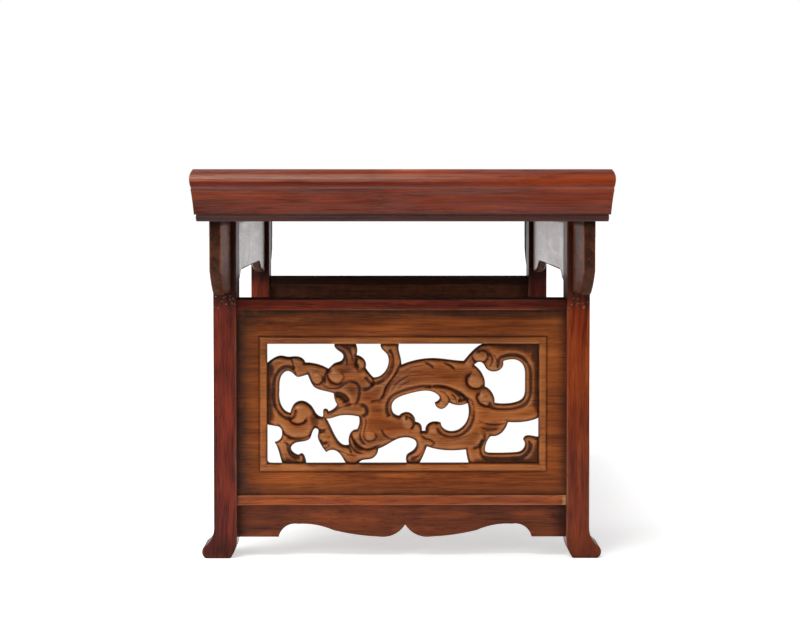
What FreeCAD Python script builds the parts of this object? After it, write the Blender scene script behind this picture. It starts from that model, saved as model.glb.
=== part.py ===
"""Miniature altar table: a small Chinese hardwood table whose legs stand in from the ends of its top.

Millimetres, +Z up. The origin is on the ground under the middle of the table. X runs across the table and
Y along it. The front end, at -Y, and the back end each have a pierced and carved panel between two legs.
"""

import FreeCAD
import Part
import Sketcher
import math
import os
import re

# Driving dimensions: name, millimetres and meaning.
SIZES = [
    ("table_height", 163.8, "ground to the upper face of the top"),
    ("top_length", 340.0, "along Y"),
    ("top_width", 167.2, "along X"),
    ("top_thickness", 20.5, "frame of the top"),
    ("frame_width", 30.0, "width of the rails of the top's frame"),
    ("edge_round", 1.5, "rounding in from the edge at the upper face"),
    ("edge_crown", 3.8, "depth below the upper face where the edge is widest"),
    ("edge_bead", 7.6, "height of the thumb bead along the edge"),
    ("edge_bead_in", 0.7, "set-in of the bead's lower line"),
    ("edge_quirk", 0.2, "step out below the bead"),
    ("edge_hollow_in", 1.7, "set-in of the lower line of the hollow"),
    ("edge_fillet", 2.7, "height of the fillet at the foot of the edge"),
    ("edge_step", 0.8, "step in above the fillet"),
    ("edge_fillet_in", 0.15, "further set-in of the underside"),
    ("top_panel_thickness", 6.0, "floating panel of the top"),
    ("top_panel_gap", 0.2, "line left open round the floating panel"),
    ("tongue_length", 4.0, "tongue of the floating panel"),
    ("tongue_thickness", 2.6, "tongue of the floating panel"),
    ("tongue_drop", 2.0, "upper face to the tongue"),
    ("batten_width", 9.0, "cross battens under the panel"),
    ("batten_height", 8.0, "cross battens under the panel"),
    ("batten_spacing", 85.0, "between the middles of the battens"),
    ("batten_tenon", 6.0, "length of a batten's tenon"),
    ("batten_shoulder", 1.5, "batten to its tenon, all round"),
    ("dovetail_height", 1.6, "batten's dovetail in the panel"),
    ("dovetail_neck", 4.6, "width of the dovetail at its foot"),
    ("dovetail_spread", 0.8, "widening of the dovetail on each side"),
    ("corner_tenon_thickness", 5.0, "tenon of a long rail, along Z"),
    ("corner_tenon_width", 14.0, "tenon of a long rail, along X"),
    ("corner_tenon_length", 22.0, "inner edge of the end rail to the tenon's end"),
    ("corner_tenon_lift", 6.0, "underside of the frame to the tenon"),
    ("corner_tenon_in", 5.0, "inner edge of the long rail to the tenon"),
    ("leg_setback", 53.0, "end of the top to the outer face of a leg"),
    ("leg_span", 158.8, "across the outer sides of a pair of legs"),
    ("leg_width", 9.75, "along X"),
    ("leg_depth", 18.3, "along Y"),
    ("leg_round", 0.9, "softened arrises of the legs"),
    ("leg_tenon_height", 8.0, "tenons of a leg in the top"),
    ("leg_tenon_length", 10.0, "tenons of a leg in the top, along Y"),
    ("leg_tenon_shoulder", 0.4, "cheek to tenon on each side"),
    ("leg_groove", 3.0, "groove for the end panel and end apron"),
    ("foot_height", 12.8, "start of the foot's flare"),
    ("foot_flare", 3.85, "flare outwards at the top of the toe"),
    ("foot_toe", 5.2, "height of the toe"),
    ("foot_sole_out", 3.5, "leg's outer side to the outer edge of the sole"),
    ("foot_sole_in", 2.8, "leg's inner side to the inner edge of the sole"),
    ("foot_heel", 8.6, "start of the foot's undercut"),
    ("apron_thickness", 4.6, "long aprons"),
    ("apron_inset", 2.85, "leg's outer side to the apron, which is the outer cheek"),
    ("apron_height", 23.6, "underside of the top to the apron's plain lower edge"),
    ("apron_round", 1.2, "softened lower arrises of the apron"),
    ("apron_overhang", 44.7, "leg's outer face to the end of the apron"),
    ("apron_end_height", 21.3, "underside of the top to the lower corner of the apron's end"),
    ("apron_end_knee", 30.7, "leg's outer face to the knee of the apron's end"),
    ("apron_end_rise", 1.0, "rise of that knee above the apron's lowest point"),
    ("spandrel_length", 43.0, "leg's inner face to the end of a spandrel"),
    ("spandrel_knee", 31.0, "leg's inner face to the knee of a spandrel"),
    ("spandrel_rise", 3.8, "rise of the knee above the spandrel's lowest point"),
    ("spandrel_drop", 31.0, "underside of the top to the spandrel's lowest point"),
    ("rail_drop", 33.4, "underside of the top to the upper end rail"),
    ("rail_depth", 14.0, "end rails, along Y"),
    ("rail_recess", 2.2, "outer face of the legs to the end rails"),
    ("rail_round", 0.5, "softened arrises of the end rails"),
    ("rail_tenon", 5.0, "length of an end rail's tenon"),
    ("rail_shoulder", 0.8, "end rail to its tenon, all round"),
    ("rail_groove", 1.4, "groove of an end rail"),
    ("upper_rail_height", 4.8, "upper end rail"),
    ("lower_rail_height", 4.2, "lower end rail"),
    ("panel_thickness", 4.8, "end panel"),
    ("panel_recess", 3.7, "outer face of the legs to the end panel"),
    ("field_margin", 11.9, "leg's inner side to the carved field of the end panel, if it were in the middle"),
    ("field_shift", 0.6, "middle of the end to the middle of the carved field, which lies to one side"),
    ("field_lift", 13.1, "lower end rail to the carved field"),
    ("field_drop", 14.35, "upper end rail to the carved field"),
    ("bead_width", 2.9, "raised bead round the carved field"),
    ("bead_rise", 0.5, "raised bead above the panel"),
    ("end_apron_thickness", 4.2, "cusped board between the feet"),
    ("end_apron_recess", 4.4, "outer face of the legs to the cusped board"),
    ("end_apron_lift", 8.5, "ground to the cusped board"),
    ("end_apron_height", 13.8, "cusped board"),
    ("cusp_shift", 1.5, "middle of the end to the pointed notch, which was cut a little to one side"),
    ("cusp_end", 53.8, "notch to the outer end of the cusped edge"),
    ("cusp_arch", 45.5, "notch to the crown of the outer arch"),
    ("cusp_rise", 5.5, "rise of the outer arch"),
    ("cusp_bend", 30.5, "notch to the bend of the long curve"),
    ("cusp_bend_rise", 2.8, "rise of the bend"),
    ("cusp_lobe", 11.0, "notch to the lobe beside it"),
    ("notch_rise", 5.2, "rise of the pointed notch"),
    ("fit", 0.05, "clearance on each side of a joint"),
]

# Levels and faces that several pieces share, as formulas of the sizes.
UNDERSIDE = "(table_height - top_thickness)"
FRAME_X = "(top_width / 2)"
FRAME_Y = "(top_length / 2)"
INNER_X = "(top_width / 2 - frame_width)"
INNER_Y = "(top_length / 2 - frame_width)"
PANEL_UNDER = "(table_height - top_panel_thickness)"
LEG_OUT = "(leg_span / 2)"
LEG_IN = "(leg_span / 2 - leg_width)"
LEG_FACE = "(top_length / 2 - leg_setback)"
LEG_REAR = "(top_length / 2 - leg_setback - leg_depth)"
APRON_OUT = "(leg_span / 2 - apron_inset)"
APRON_IN = "(leg_span / 2 - apron_inset - apron_thickness)"
SPANDREL = "(table_height - top_thickness - spandrel_drop)"
BAND = "(table_height - top_thickness - apron_height)"
APRON_CORNER = "(table_height - top_thickness - apron_end_height)"
UPPER_RAIL = "(table_height - top_thickness - rail_drop - upper_rail_height)"
LOWER_RAIL = "(end_apron_lift + end_apron_height)"
LOWER_RAIL_TOP = "(end_apron_lift + end_apron_height + lower_rail_height)"
RAIL_FRONT = f"(-{LEG_FACE} + rail_recess)"
RAIL_BACK = f"(-{LEG_FACE} + rail_recess + rail_depth)"
PANEL_FRONT = f"(-{LEG_FACE} + panel_recess)"
PANEL_BACK = f"(-{LEG_FACE} + panel_recess + panel_thickness)"
END_APRON_FRONT = f"(-{LEG_FACE} + end_apron_recess)"
END_APRON_BACK = f"(-{LEG_FACE} + end_apron_recess + end_apron_thickness)"
FIELD_X = "(leg_span / 2 - leg_width - field_margin)"
FIELD_FOOT = f"({LOWER_RAIL_TOP} + field_lift)"
FIELD_CREST = f"({UPPER_RAIL} - field_drop)"

# Height over which a plan is carried, to both sides of the ground, so that it takes in the whole top.
PLAN_HEIGHT = "(4 * table_height)"

# Bulges of curved edges: twice the height of the arc over its chord, less than nothing where it is hollow.
FILLET_BULGE = 0.15
HOLLOW_BULGE = -0.02
SPANDREL_BULGE = 0.03
SPANDREL_END_BULGE = -0.1
APRON_LIP_BULGE = -0.02
APRON_END_BULGE = 0.1
HEEL_BULGE = 0.16
LOBE_BULGE = 0.3
LONG_CURVE_BULGE = 0.05
BEND_BULGE = -0.12
ARCH_BULGE = -0.4

# Lengths below this count as nothing when edges are chosen.
TOLERANCE = 1e-6

# Openings sawn through the carved field, drawn from its lower left corner on a field of this size.
# Each opening is a list of runs, and a run goes on from the end of the last one: a run of one point
# is straight, and a longer one is a smooth curve, so that the corners lie between the runs.
DRAWN_WIDTH = 114.3
DRAWN_HEIGHT = 51.0
OPENINGS = {
    "above_nose": [
        [(0, 42.5), (0, 51)],
        [(28.3, 51)],
        [(28.5, 49.4), (30.2, 47.8), (32, 45.9), (31.2, 43.6), (28.6, 42.6), (26.7, 41.1), (25.7, 40.1)],
        [(22.7, 41.6), (19.4, 42.5), (16, 42.8)],
        [(14.7, 44.6), (11.4, 45.4), (8.8, 45.2), (6.1, 45.7), (2.5, 44.6), (0, 42.5)],
    ],
    "inside_scroll": [
        [(5.1, 30.9), (5.2, 34.5), (6.1, 37.4), (8.5, 39.3), (10.8, 38.4), (12.6, 36.9), (14.7, 37.1),
         (17.1, 37.8)],
        [(18.1, 35.3), (19.7, 32.7), (23.3, 31.1), (28, 29.8)],
        [(28.4, 27.3), (29.5, 25)],
        [(27.7, 22.9), (25.7, 21.9)],
        [(24.9, 23), (23.8, 22.9), (23.6, 21.1), (23.3, 19.6)],
        [(20.9, 20.7), (18.8, 24), (16.9, 25.7), (14.4, 26.5), (11.4, 25.3), (10.1, 22.9), (9.7, 21.3)],
        [(7.3, 22.5), (5.5, 25.6), (5.1, 30.9)],
    ],
    "below_scroll": [
        [(0, 1.4), (0, 16.6)],
        [(4.7, 15.8)],
        [(6.1, 14), (6.1, 11.6), (3.2, 9)],
        [(4.5, 6.3), (5.5, 2.7), (6.4, 0)],
        [(1.4, 0)],
        [(0.4, 0.4), (0, 1.4)],
    ],
    "left_foot": [
        [(33.2, 0), (16.4, 0)],
        [(15.9, 2.2), (14.7, 4), (13.2, 3.5)],
        [(11.3, 4.2), (9.9, 6.3), (11.1, 8.3), (14.7, 9.3), (18, 10.7), (19, 13.3), (20.1, 15)],
        [(21.5, 14.3), (21.3, 11.9), (22.1, 9), (23.7, 6.3), (24.9, 4.8)],
        [(26.8, 5.8), (28.9, 5.5), (31.6, 2.7), (33.2, 0)],
    ],
    "under_jaw": [
        [(24.6, 19.2), (26.8, 19.3), (30.1, 20.3), (34.3, 20.6), (38.6, 20)],
        [(38.8, 17.6), (37.8, 14.3)],
        [(35.1, 12.9), (34.3, 10.9), (34.5, 7.8)],
        [(31.6, 7.9), (29.2, 10.4), (26.8, 15.2), (24.6, 19.2)],
    ],
    "under_chest": [
        [(38.4, 0), (39.9, 1.4), (43.7, 2), (46, 3.8), (46.7, 6.3)],
        [(50.3, 8), (55.5, 10.7), (58.9, 11.1), (62, 10.1)],
        [(62.8, 7.9), (61.1, 5.1), (58.7, 3.3), (58.4, 1.4), (58.9, 0)],
        [(38.4, 0)],
    ],
    "behind_crest": [
        [(37.1, 51), (47.7, 51)],
        [(48.5, 48.4), (50.3, 46.6), (51.1, 43.6), (50.1, 39.8), (47.6, 37.1), (44.6, 36.4)],
        [(42.5, 38.9), (41.4, 40.5)],
        [(41.5, 42.7), (40.2, 44.7), (37.6, 45.9)],
        [(37.9, 48.7), (37.1, 51)],
    ],
    "above_back": [
        [(55.6, 51), (91.4, 51)],
        [(87.4, 48.6), (84.6, 45.7), (82.7, 43.4)],
        [(76.5, 44), (70.3, 44.6), (63.5, 44), (56.4, 41.8)],
        [(56.1, 45.1), (55.4, 47.9), (55.6, 51)],
    ],
    "ring": [
        [(52.4, 23.7), (53.3, 26.7), (57.3, 29), (62.3, 30.4), (66.6, 31), (70.3, 30.2), (72.5, 28.2),
         (70.5, 25.7)],
        [(71.5, 23.9), (73.3, 23.2), (75.4, 24.3), (76.5, 25.9)],
        [(80.3, 24.8), (84.3, 25.6)],
        [(84.9, 21.8), (83.7, 17.2), (80.6, 14.2), (76.5, 13.6), (73.8, 15.2), (73.1, 17.1)],
        [(70.3, 17.6), (67.7, 16.6), (66.6, 13.6)],
        [(65, 13.6)],
        [(64.8, 16.1), (62.3, 17.5)],
        [(61.4, 20.3), (59.1, 21.6), (56.7, 21.1), (55.5, 20.1)],
        [(53.3, 21.1), (52.4, 23.7)],
    ],
    "under_belly": [
        [(84.9, 0), (64, 0)],
        [(65.9, 3.9), (67.2, 7.3)],
        [(71.6, 6.1), (76.5, 5.6), (83.7, 6)],
        [(84, 3.3), (84.9, 0)],
    ],
    "inside_tail": [
        [(87, 41.8), (89.6, 43.1), (91.4, 41.7)],
        [(93, 39.7), (95.8, 39.1), (98.5, 40.4), (99.2, 43.5)],
        [(101.3, 44.1), (105.4, 43.8), (108, 41.1), (108.6, 36.1), (108.6, 31.8), (107.7, 27.7),
         (104.4, 25.8), (95.6, 25.6)],
        [(95.3, 28.7), (93.9, 31), (91.5, 32.6)],
        [(91.4, 35.8), (89.9, 39), (87, 41.8)],
    ],
    "right_foot": [
        [(114.3, 19.5), (114.3, 11.1)],
        [(111.2, 11.6), (108.9, 11.4), (107.8, 9.9)],
        [(108.6, 7.7), (107.2, 5.2), (104.1, 4.4), (94.5, 4.2), (92, 4.8), (91.7, 6.7), (94.4, 11.6)],
        [(97.9, 12.4), (100.1, 14.7), (101.3, 17.6)],
        [(106.9, 17.6), (110.6, 18.2), (114.3, 19.5)],
    ],
}

doc = FreeCAD.newDocument("altar_table")
pieces = {}


def make_sheet():
    """The spreadsheet of driving dimensions, one aliased cell each."""
    sheet = doc.addObject("Spreadsheet::Sheet", "dims")
    for row, (name, size, meaning) in enumerate(SIZES, 1):
        sheet.set(f"A{row}", name)
        sheet.set(f"B{row}", str(size))
        sheet.setAlias(f"B{row}", name)
        sheet.set(f"C{row}", meaning)
    doc.recompute()
    return sheet


dims = make_sheet()


def sized(formula):
    """The formula with each size's name turned into a reference to its cell."""
    return re.sub(r"[a-z_]+", lambda word: "dims." + word.group(), formula)


def bind(thing, path, formula):
    """Ties a property of a document object to the sheet."""
    thing.setExpression(path, sized(formula))


def value(thing, formula):
    """The present value of a formula."""
    return float(thing.evalExpression(sized(formula)))


def keep(label, thing):
    """Names a finished piece of the table."""
    thing.Label = label
    pieces[label] = thing


def box(name, x, y, z, ease="0"):
    """A block between pairs of limits on X, Y and Z, grown all round by ease."""
    block = doc.addObject("Part::Box", name)
    for side, axis, (low, high) in zip(("Length", "Width", "Height"), "xyz", (x, y, z)):
        bind(block, side, f"({high}) - ({low}) + 2 * ({ease})")
        bind(block, f"Placement.Base.{axis}", f"({low}) - ({ease})")
    return block


def fuse(name, *solids):
    """One solid of several."""
    joined = doc.addObject("Part::MultiFuse", name)
    joined.Shapes = list(solids)
    return joined


def cut(name, base, *tools):
    """The base less all the tools."""
    for number, tool in enumerate(tools, 1):
        less = doc.addObject("Part::Cut", f"{name}_cut_{number}")
        less.Base = base
        less.Tool = tool
        base = less
    return base


def mirror(name, source, axis):
    """The source mirrored in the middle plane of the table across X or Y."""
    image = doc.addObject("Part::Mirroring", name)
    image.Source = source
    image.Base = FreeCAD.Vector(0, 0, 0)
    image.Normal = {"X": FreeCAD.Vector(1, 0, 0), "Y": FreeCAD.Vector(0, 1, 0)}[axis]
    return image


def pin_point(sketch, geometry, end, place):
    """Holds a point of the sketch at a place given by two formulas."""
    for kind, formula in zip(("DistanceX", "DistanceY"), place):
        rule = Sketcher.Constraint(kind, -1, 1, geometry, end, value(sketch, formula))
        bind(sketch, f"Constraints[{sketch.addConstraint(rule)}]", formula)


def arc_middle(start, end, bulge):
    """Formulas of the middle of an arc that stands out to the right of its way from start to end,
    by half its bulge times its chord."""
    across = f"(({start[0]}) + ({end[0]})) / 2 + {bulge / 2} * (({end[1]}) - ({start[1]}))"
    up = f"(({start[1]}) + ({end[1]})) / 2 - {bulge / 2} * (({end[0]}) - ({start[0]}))"
    return across, up


def outline(body, plane, corners):
    """A closed sketch through corners of (across, up, bulge of the edge that follows)."""
    sketch = body.newObject("Sketcher::SketchObject", body.Name + "_outline")
    support = [face for face in body.Origin.OriginFeatures if face.Role == plane]
    sketch.AttachmentSupport = [(support[0], "")]
    sketch.MapMode = "FlatFace"
    ends = []
    for number, (across, up, bulge) in enumerate(corners):
        start = (across, up)
        end = corners[(number + 1) % len(corners)][:2]
        places = [FreeCAD.Vector(value(sketch, a), value(sketch, b), 0) for a, b in (start, end)]
        if bulge == 0:
            edge = sketch.addGeometry(Part.LineSegment(*places))
            ends.append((edge, 1, 2))
        else:
            middle = arc_middle(start, end, bulge)
            passing = FreeCAD.Vector(value(sketch, middle[0]), value(sketch, middle[1]), 0)
            first, last = (1, 2) if bulge > 0 else (2, 1)
            edge = sketch.addGeometry(Part.Arc(places[first - 1], passing, places[last - 1]))
            ends.append((edge, first, last))
            mark = sketch.addGeometry(Part.Point(passing), True)
            pin_point(sketch, mark, 1, middle)
            sketch.addConstraint(Sketcher.Constraint("PointOnObject", mark, 1, edge))
        pin_point(sketch, edge, ends[-1][1], start)
    for (edge, _, last), (following, first, _) in zip(ends, ends[1:] + ends[:1]):
        sketch.addConstraint(Sketcher.Constraint("Coincident", edge, last, following, first))
    return sketch


def padded(name, plane, corners, length):
    """A body that carries an outline evenly to both sides of its plane."""
    body = doc.addObject("PartDesign::Body", name)
    pad = body.newObject("PartDesign::Pad", name + "_pad")
    pad.Profile = outline(body, plane, corners)
    pad.SideType = "Symmetric"
    bind(pad, "Length", length)
    return body, pad


def soften(body, feature, radius, chosen):
    """Rounds the chosen edges of a body's feature."""
    doc.recompute()
    names = [f"Edge{number}" for number, edge in enumerate(feature.Shape.Edges, 1) if chosen(edge)]
    rounded = body.newObject("PartDesign::Fillet", body.Name + "_round")
    rounded.Base = (feature, names)
    bind(rounded, "Radius", radius)


def along(edge, axis):
    """Whether an edge is straight and runs along an axis."""
    box_of_edge = edge.BoundBox
    sides = {"x": box_of_edge.XLength, "y": box_of_edge.YLength, "z": box_of_edge.ZLength}
    return all((size > TOLERANCE) == (name == axis) for name, size in sides.items())


def tangent_bulge(across, up):
    """Bulge of an arc that ends upright, from its size across and up."""
    return math.tan(math.atan2(across, up) / 2)


def edge_section(half):
    """The section of a rail of the top's frame, with the moulding on its outer side."""
    top = "table_height"
    under = UNDERSIDE
    bead_line = "(table_height - edge_bead)"
    hollow_in = "(edge_hollow_in + edge_step)"
    lower_bulge = tangent_bulge(dims.get("edge_bead_in"), dims.get("edge_bead") - dims.get("edge_crown"))
    upper_bulge = tangent_bulge(dims.get("edge_round"), dims.get("edge_crown"))
    return [
        (f"{half} - frame_width", under, 0),
        (f"{half} - {hollow_in} - edge_fillet_in", under, FILLET_BULGE),
        (f"{half} - {hollow_in}", f"{under} + edge_fillet", 0),
        (f"{half} - edge_hollow_in", f"{under} + edge_fillet", HOLLOW_BULGE),
        (f"{half} - edge_bead_in + edge_quirk", f"{bead_line} - edge_quirk", 0),
        (f"{half} - edge_bead_in", bead_line, lower_bulge),
        (half, f"{top} - edge_crown", upper_bulge),
        (f"{half} - edge_round", top, 0),
        (f"{half} - frame_width", top, 0),
    ]


def corner_tenon():
    """Limits of the tenon of the right long rail in the front end rail."""
    inner = f"{INNER_X} + corner_tenon_in"
    foot = f"{UNDERSIDE} + corner_tenon_lift"
    return (
        (inner, f"{inner} + corner_tenon_width"),
        (f"-{INNER_Y} - corner_tenon_length", f"-{INNER_Y}"),
        (foot, f"{foot} + corner_tenon_thickness"),
    )


def batten_tenon(place):
    """Limits of the tenons of a batten, from one long rail to the other."""
    reach = f"{INNER_X} + batten_tenon"
    half = "(batten_width / 2 - batten_shoulder)"
    return (
        (f"-({reach})", reach),
        (f"{place} - {half}", f"{place} + {half}"),
        (f"{PANEL_UNDER} - batten_height + batten_shoulder", f"{PANEL_UNDER} - batten_shoulder"),
    )


def leg_tenons():
    """Limits of the tenons on the two cheeks of the front right leg."""
    middle = f"(-{LEG_FACE} + leg_depth / 2)"
    length = (f"{middle} - leg_tenon_length / 2", f"{middle} + leg_tenon_length / 2")
    height = (UNDERSIDE, f"{UNDERSIDE} + leg_tenon_height")
    cheeks = ((APRON_OUT, LEG_OUT), (LEG_IN, APRON_IN))
    widths = [(f"{low} + leg_tenon_shoulder", f"{high} - leg_tenon_shoulder") for low, high in cheeks]
    return [(width, length, height) for width in widths]


def top_panel_tongue():
    """Limits of the tongue of the floating panel, which goes all round it."""
    upper = "table_height - tongue_drop"
    return (
        (f"-({INNER_X} + tongue_length)", f"{INNER_X} + tongue_length"),
        (f"-({INNER_Y} + tongue_length)", f"{INNER_Y} + tongue_length"),
        (f"{upper} - tongue_thickness", upper),
    )


BATTENS = {"front": "-batten_spacing", "middle": "0 * batten_spacing", "back": "batten_spacing"}


def make_top_frame():
    """Mitred frame: each rail is the moulded section within its share of the plan."""
    groove = box("tongue_groove", *top_panel_tongue(), ease="fit")
    spare = "frame_width"
    long_rail, _ = padded("long_rail_section", "XZ_Plane", edge_section(FRAME_X), "top_length")
    plan = [
        (INNER_X, f"-{INNER_Y}", 0),
        (f"{FRAME_X} + {spare}", f"-({FRAME_Y} + {spare})", 0),
        (f"{FRAME_X} + {spare}", f"{FRAME_Y} + {spare}", 0),
        (INNER_X, INNER_Y, 0),
    ]
    long_share, _ = padded("long_rail_plan", "XY_Plane", plan, PLAN_HEIGHT)
    mitred = doc.addObject("Part::Common", "long_rail_mitred")
    mitred.Base = long_rail
    mitred.Tool = long_share
    tenon = box("corner_tenon_front", *corner_tenon())
    tenoned = fuse("long_rail_tenoned", mitred, tenon, mirror("corner_tenon_back", tenon, "Y"))
    mortises = []
    for name, place in BATTENS.items():
        mortises.append(box(f"batten_mortise_{name}", *batten_tenon(place), ease="fit"))
    for number, limits in enumerate(leg_tenons()):
        mortise = box(f"leg_mortise_{number}", *limits, ease="fit")
        mortises += [mortise, mirror(f"leg_mortise_back_{number}", mortise, "Y")]
    right = cut("long_rail", tenoned, groove, *mortises)
    keep("top_long_rail_right", right)
    keep("top_long_rail_left", mirror("long_rail_left", right, "X"))

    end_rail, _ = padded("end_rail_section", "YZ_Plane", edge_section(FRAME_Y), "top_width")
    plan = [
        (f"-{INNER_X}", INNER_Y, 0),
        (INNER_X, INNER_Y, 0),
        (f"{FRAME_X} + {spare}", f"{FRAME_Y} + {spare}", 0),
        (f"-({FRAME_X} + {spare})", f"{FRAME_Y} + {spare}", 0),
    ]
    end_share, _ = padded("end_rail_plan", "XY_Plane", plan, PLAN_HEIGHT)
    mitred = doc.addObject("Part::Common", "end_rail_mitred")
    mitred.Base = end_rail
    mitred.Tool = end_share
    mortise = mirror("corner_mortise_right", box("corner_mortise", *corner_tenon(), ease="fit"), "Y")
    back = cut("end_rail", mitred, groove, mortise, mirror("corner_mortise_left", mortise, "X"))
    keep("top_end_rail_back", back)
    keep("top_end_rail_front", mirror("end_rail_front", back, "Y"))


def dovetail(name, place, ease):
    """The dovetail of a batten, along X, with its neck a little way down in the batten."""
    neck = f"(dovetail_neck / 2 + {ease})"
    head = f"(dovetail_neck / 2 + dovetail_spread + {ease})"
    foot = f"{PANEL_UNDER} - batten_shoulder"
    crest = f"{PANEL_UNDER} + dovetail_height + {ease}"
    corners = [
        (f"{place} - {neck}", foot, 0),
        (f"{place} + {neck}", foot, 0),
        (f"{place} + {neck}", PANEL_UNDER, 0),
        (f"{place} + {head}", crest, 0),
        (f"{place} - {head}", crest, 0),
        (f"{place} - {neck}", PANEL_UNDER, 0),
    ]
    body, _ = padded(name, "YZ_Plane", corners, f"2 * ({INNER_X} - top_panel_gap)")
    return body


def make_top_panel():
    """Floating panel with its tongue, and the battens that slide into its dovetail grooves."""
    board = box(
        "top_board",
        (f"-{INNER_X} + top_panel_gap", f"{INNER_X} - top_panel_gap"),
        (f"-{INNER_Y} + top_panel_gap", f"{INNER_Y} - top_panel_gap"),
        (PANEL_UNDER, "table_height"),
    )
    tongued = fuse("top_board_tongued", board, box("top_board_tongue", *top_panel_tongue()))
    grooves = [dovetail(f"dovetail_groove_{name}", place, "fit") for name, place in BATTENS.items()]
    keep("top_panel", cut("top_panel_grooved", tongued, *grooves))
    for name, place in BATTENS.items():
        bar = box(
            f"batten_bar_{name}",
            (f"-{INNER_X} + fit", f"{INNER_X} - fit"),
            (f"{place} - batten_width / 2", f"{place} + batten_width / 2"),
            (f"{PANEL_UNDER} - batten_height", f"{PANEL_UNDER}"),
        )
        tenon = box(f"batten_tenon_{name}", *batten_tenon(place))
        key = dovetail(f"batten_dovetail_{name}", place, "0 * fit")
        keep(f"top_batten_{name}", fuse(f"batten_{name}", bar, tenon, key))


def lower_arris(edge):
    """Whether an edge of an apron's inner or outer face is on its lower side."""
    span = edge.BoundBox
    on_face = span.XLength < TOLERANCE and span.YLength > TOLERANCE
    return on_face and span.ZMax < value(dims, UNDERSIDE) - TOLERANCE


def make_aprons():
    """Long aprons: one board each, with the spandrels of both its legs cut from it."""
    half = [
        (f"{LEG_REAR} - spandrel_length", BAND, SPANDREL_END_BULGE),
        (f"{LEG_REAR} - spandrel_knee", f"{SPANDREL} + spandrel_rise", SPANDREL_BULGE),
        (LEG_REAR, SPANDREL, 0),
        (LEG_FACE, SPANDREL, APRON_LIP_BULGE),
        (f"{LEG_FACE} + apron_end_knee", f"{SPANDREL} + apron_end_rise", APRON_END_BULGE),
        (f"{LEG_FACE} + apron_overhang", APRON_CORNER, 0),
    ]
    bulges = [bulge for _, _, bulge in half[:-1]]
    mirrored = [(f"-({y})", z, bulge) for (y, z, _), bulge in zip(reversed(half), bulges[::-1] + [0])]
    end = f"({LEG_FACE} + apron_overhang)"
    upper = [(end, UNDERSIDE, 0), (f"-{end}", UNDERSIDE, 0)]
    body, pad = padded("apron_board", "YZ_Plane", mirrored + half + upper, "apron_thickness")
    soften(body, pad, "apron_round", lower_arris)
    bind(body, "Placement.Base.x", f"({APRON_OUT} + {APRON_IN}) / 2")
    keep("apron_right", body)
    keep("apron_left", mirror("apron_mirrored", body, "X"))


def rail_tenon(foot, height):
    """Limits of the tenons of an end rail, from leg to leg, behind the end panel."""
    return (
        (f"-({LEG_IN} + rail_tenon)", f"{LEG_IN} + rail_tenon"),
        (f"{PANEL_BACK} + rail_shoulder", f"{RAIL_BACK} - rail_shoulder"),
        (f"{foot} + rail_shoulder", f"{foot} + {height} - rail_shoulder"),
    )


def panel_edges():
    """Limits of the end panel, in the grooves of the legs and the end rails."""
    return (
        (f"-({LEG_IN} + leg_groove)", f"{LEG_IN} + leg_groove"),
        (PANEL_FRONT, PANEL_BACK),
        (f"{LOWER_RAIL_TOP} - rail_groove", f"{UPPER_RAIL} + rail_groove"),
    )


def end_apron_edges():
    """Limits of the cusped board, in the grooves of the legs and the lower end rail."""
    return (
        (f"-({LEG_IN} + leg_groove)", f"{LEG_IN} + leg_groove"),
        (END_APRON_FRONT, END_APRON_BACK),
        ("end_apron_lift", f"{LOWER_RAIL} + rail_groove"),
    )


def leg_arris(edge):
    """Whether an edge is round a leg's sole, or on its front or back face below the top."""
    span = edge.BoundBox
    below_top = span.ZMin < value(dims, UNDERSIDE) - TOLERANCE
    return span.ZMax < TOLERANCE or (span.YLength < TOLERANCE and below_top)


def make_legs():
    """Legs: slotted to straddle the apron, tenoned into the top and grooved for the end panel."""
    flare = tangent_bulge(dims.get("foot_flare"), dims.get("foot_height") - dims.get("foot_toe"))
    lean = math.atan2(dims.get("foot_flare") - dims.get("foot_sole_out"), dims.get("foot_toe"))
    toe = math.tan(2 * math.atan(flare) + lean / 2)
    corners = [
        (f"{LEG_IN} + foot_sole_in", "0 * leg_width", 0),
        (f"{LEG_OUT} + foot_sole_out", "0 * leg_width", toe),
        (f"{LEG_OUT} + foot_flare", "foot_toe", -flare),
        (LEG_OUT, "foot_height", 0),
        (LEG_OUT, UNDERSIDE, 0),
        (LEG_IN, UNDERSIDE, 0),
        (LEG_IN, "foot_heel", HEEL_BULGE),
    ]
    body, pad = padded("leg_post", "XZ_Plane", corners, "leg_depth")
    soften(body, pad, "leg_round", leg_arris)
    bind(body, "Placement.Base.y", f"-{LEG_FACE} + leg_depth / 2")
    tenons = [box(f"leg_tenon_{number}", *limits) for number, limits in enumerate(leg_tenons())]
    slot = box(
        "leg_slot",
        (APRON_IN, APRON_OUT),
        (f"-{LEG_FACE} - leg_round", f"-{LEG_REAR} + leg_round"),
        (SPANDREL, f"{UNDERSIDE} + leg_tenon_height"),
        ease="fit",
    )
    housings = [
        box("upper_rail_mortise", *rail_tenon(UPPER_RAIL, "upper_rail_height"), ease="fit"),
        box("lower_rail_mortise", *rail_tenon(LOWER_RAIL, "lower_rail_height"), ease="fit"),
        box("panel_groove", *panel_edges(), ease="fit"),
        box("end_apron_groove", *end_apron_edges(), ease="fit"),
    ]
    leg = cut("leg", fuse("leg_tenoned", body, *tenons), slot, *housings)
    keep("leg_front_right", leg)
    left = mirror("leg_left", leg, "X")
    keep("leg_front_left", left)
    keep("leg_back_right", mirror("leg_right_back", leg, "Y"))
    keep("leg_back_left", mirror("leg_left_back", left, "Y"))


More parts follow.
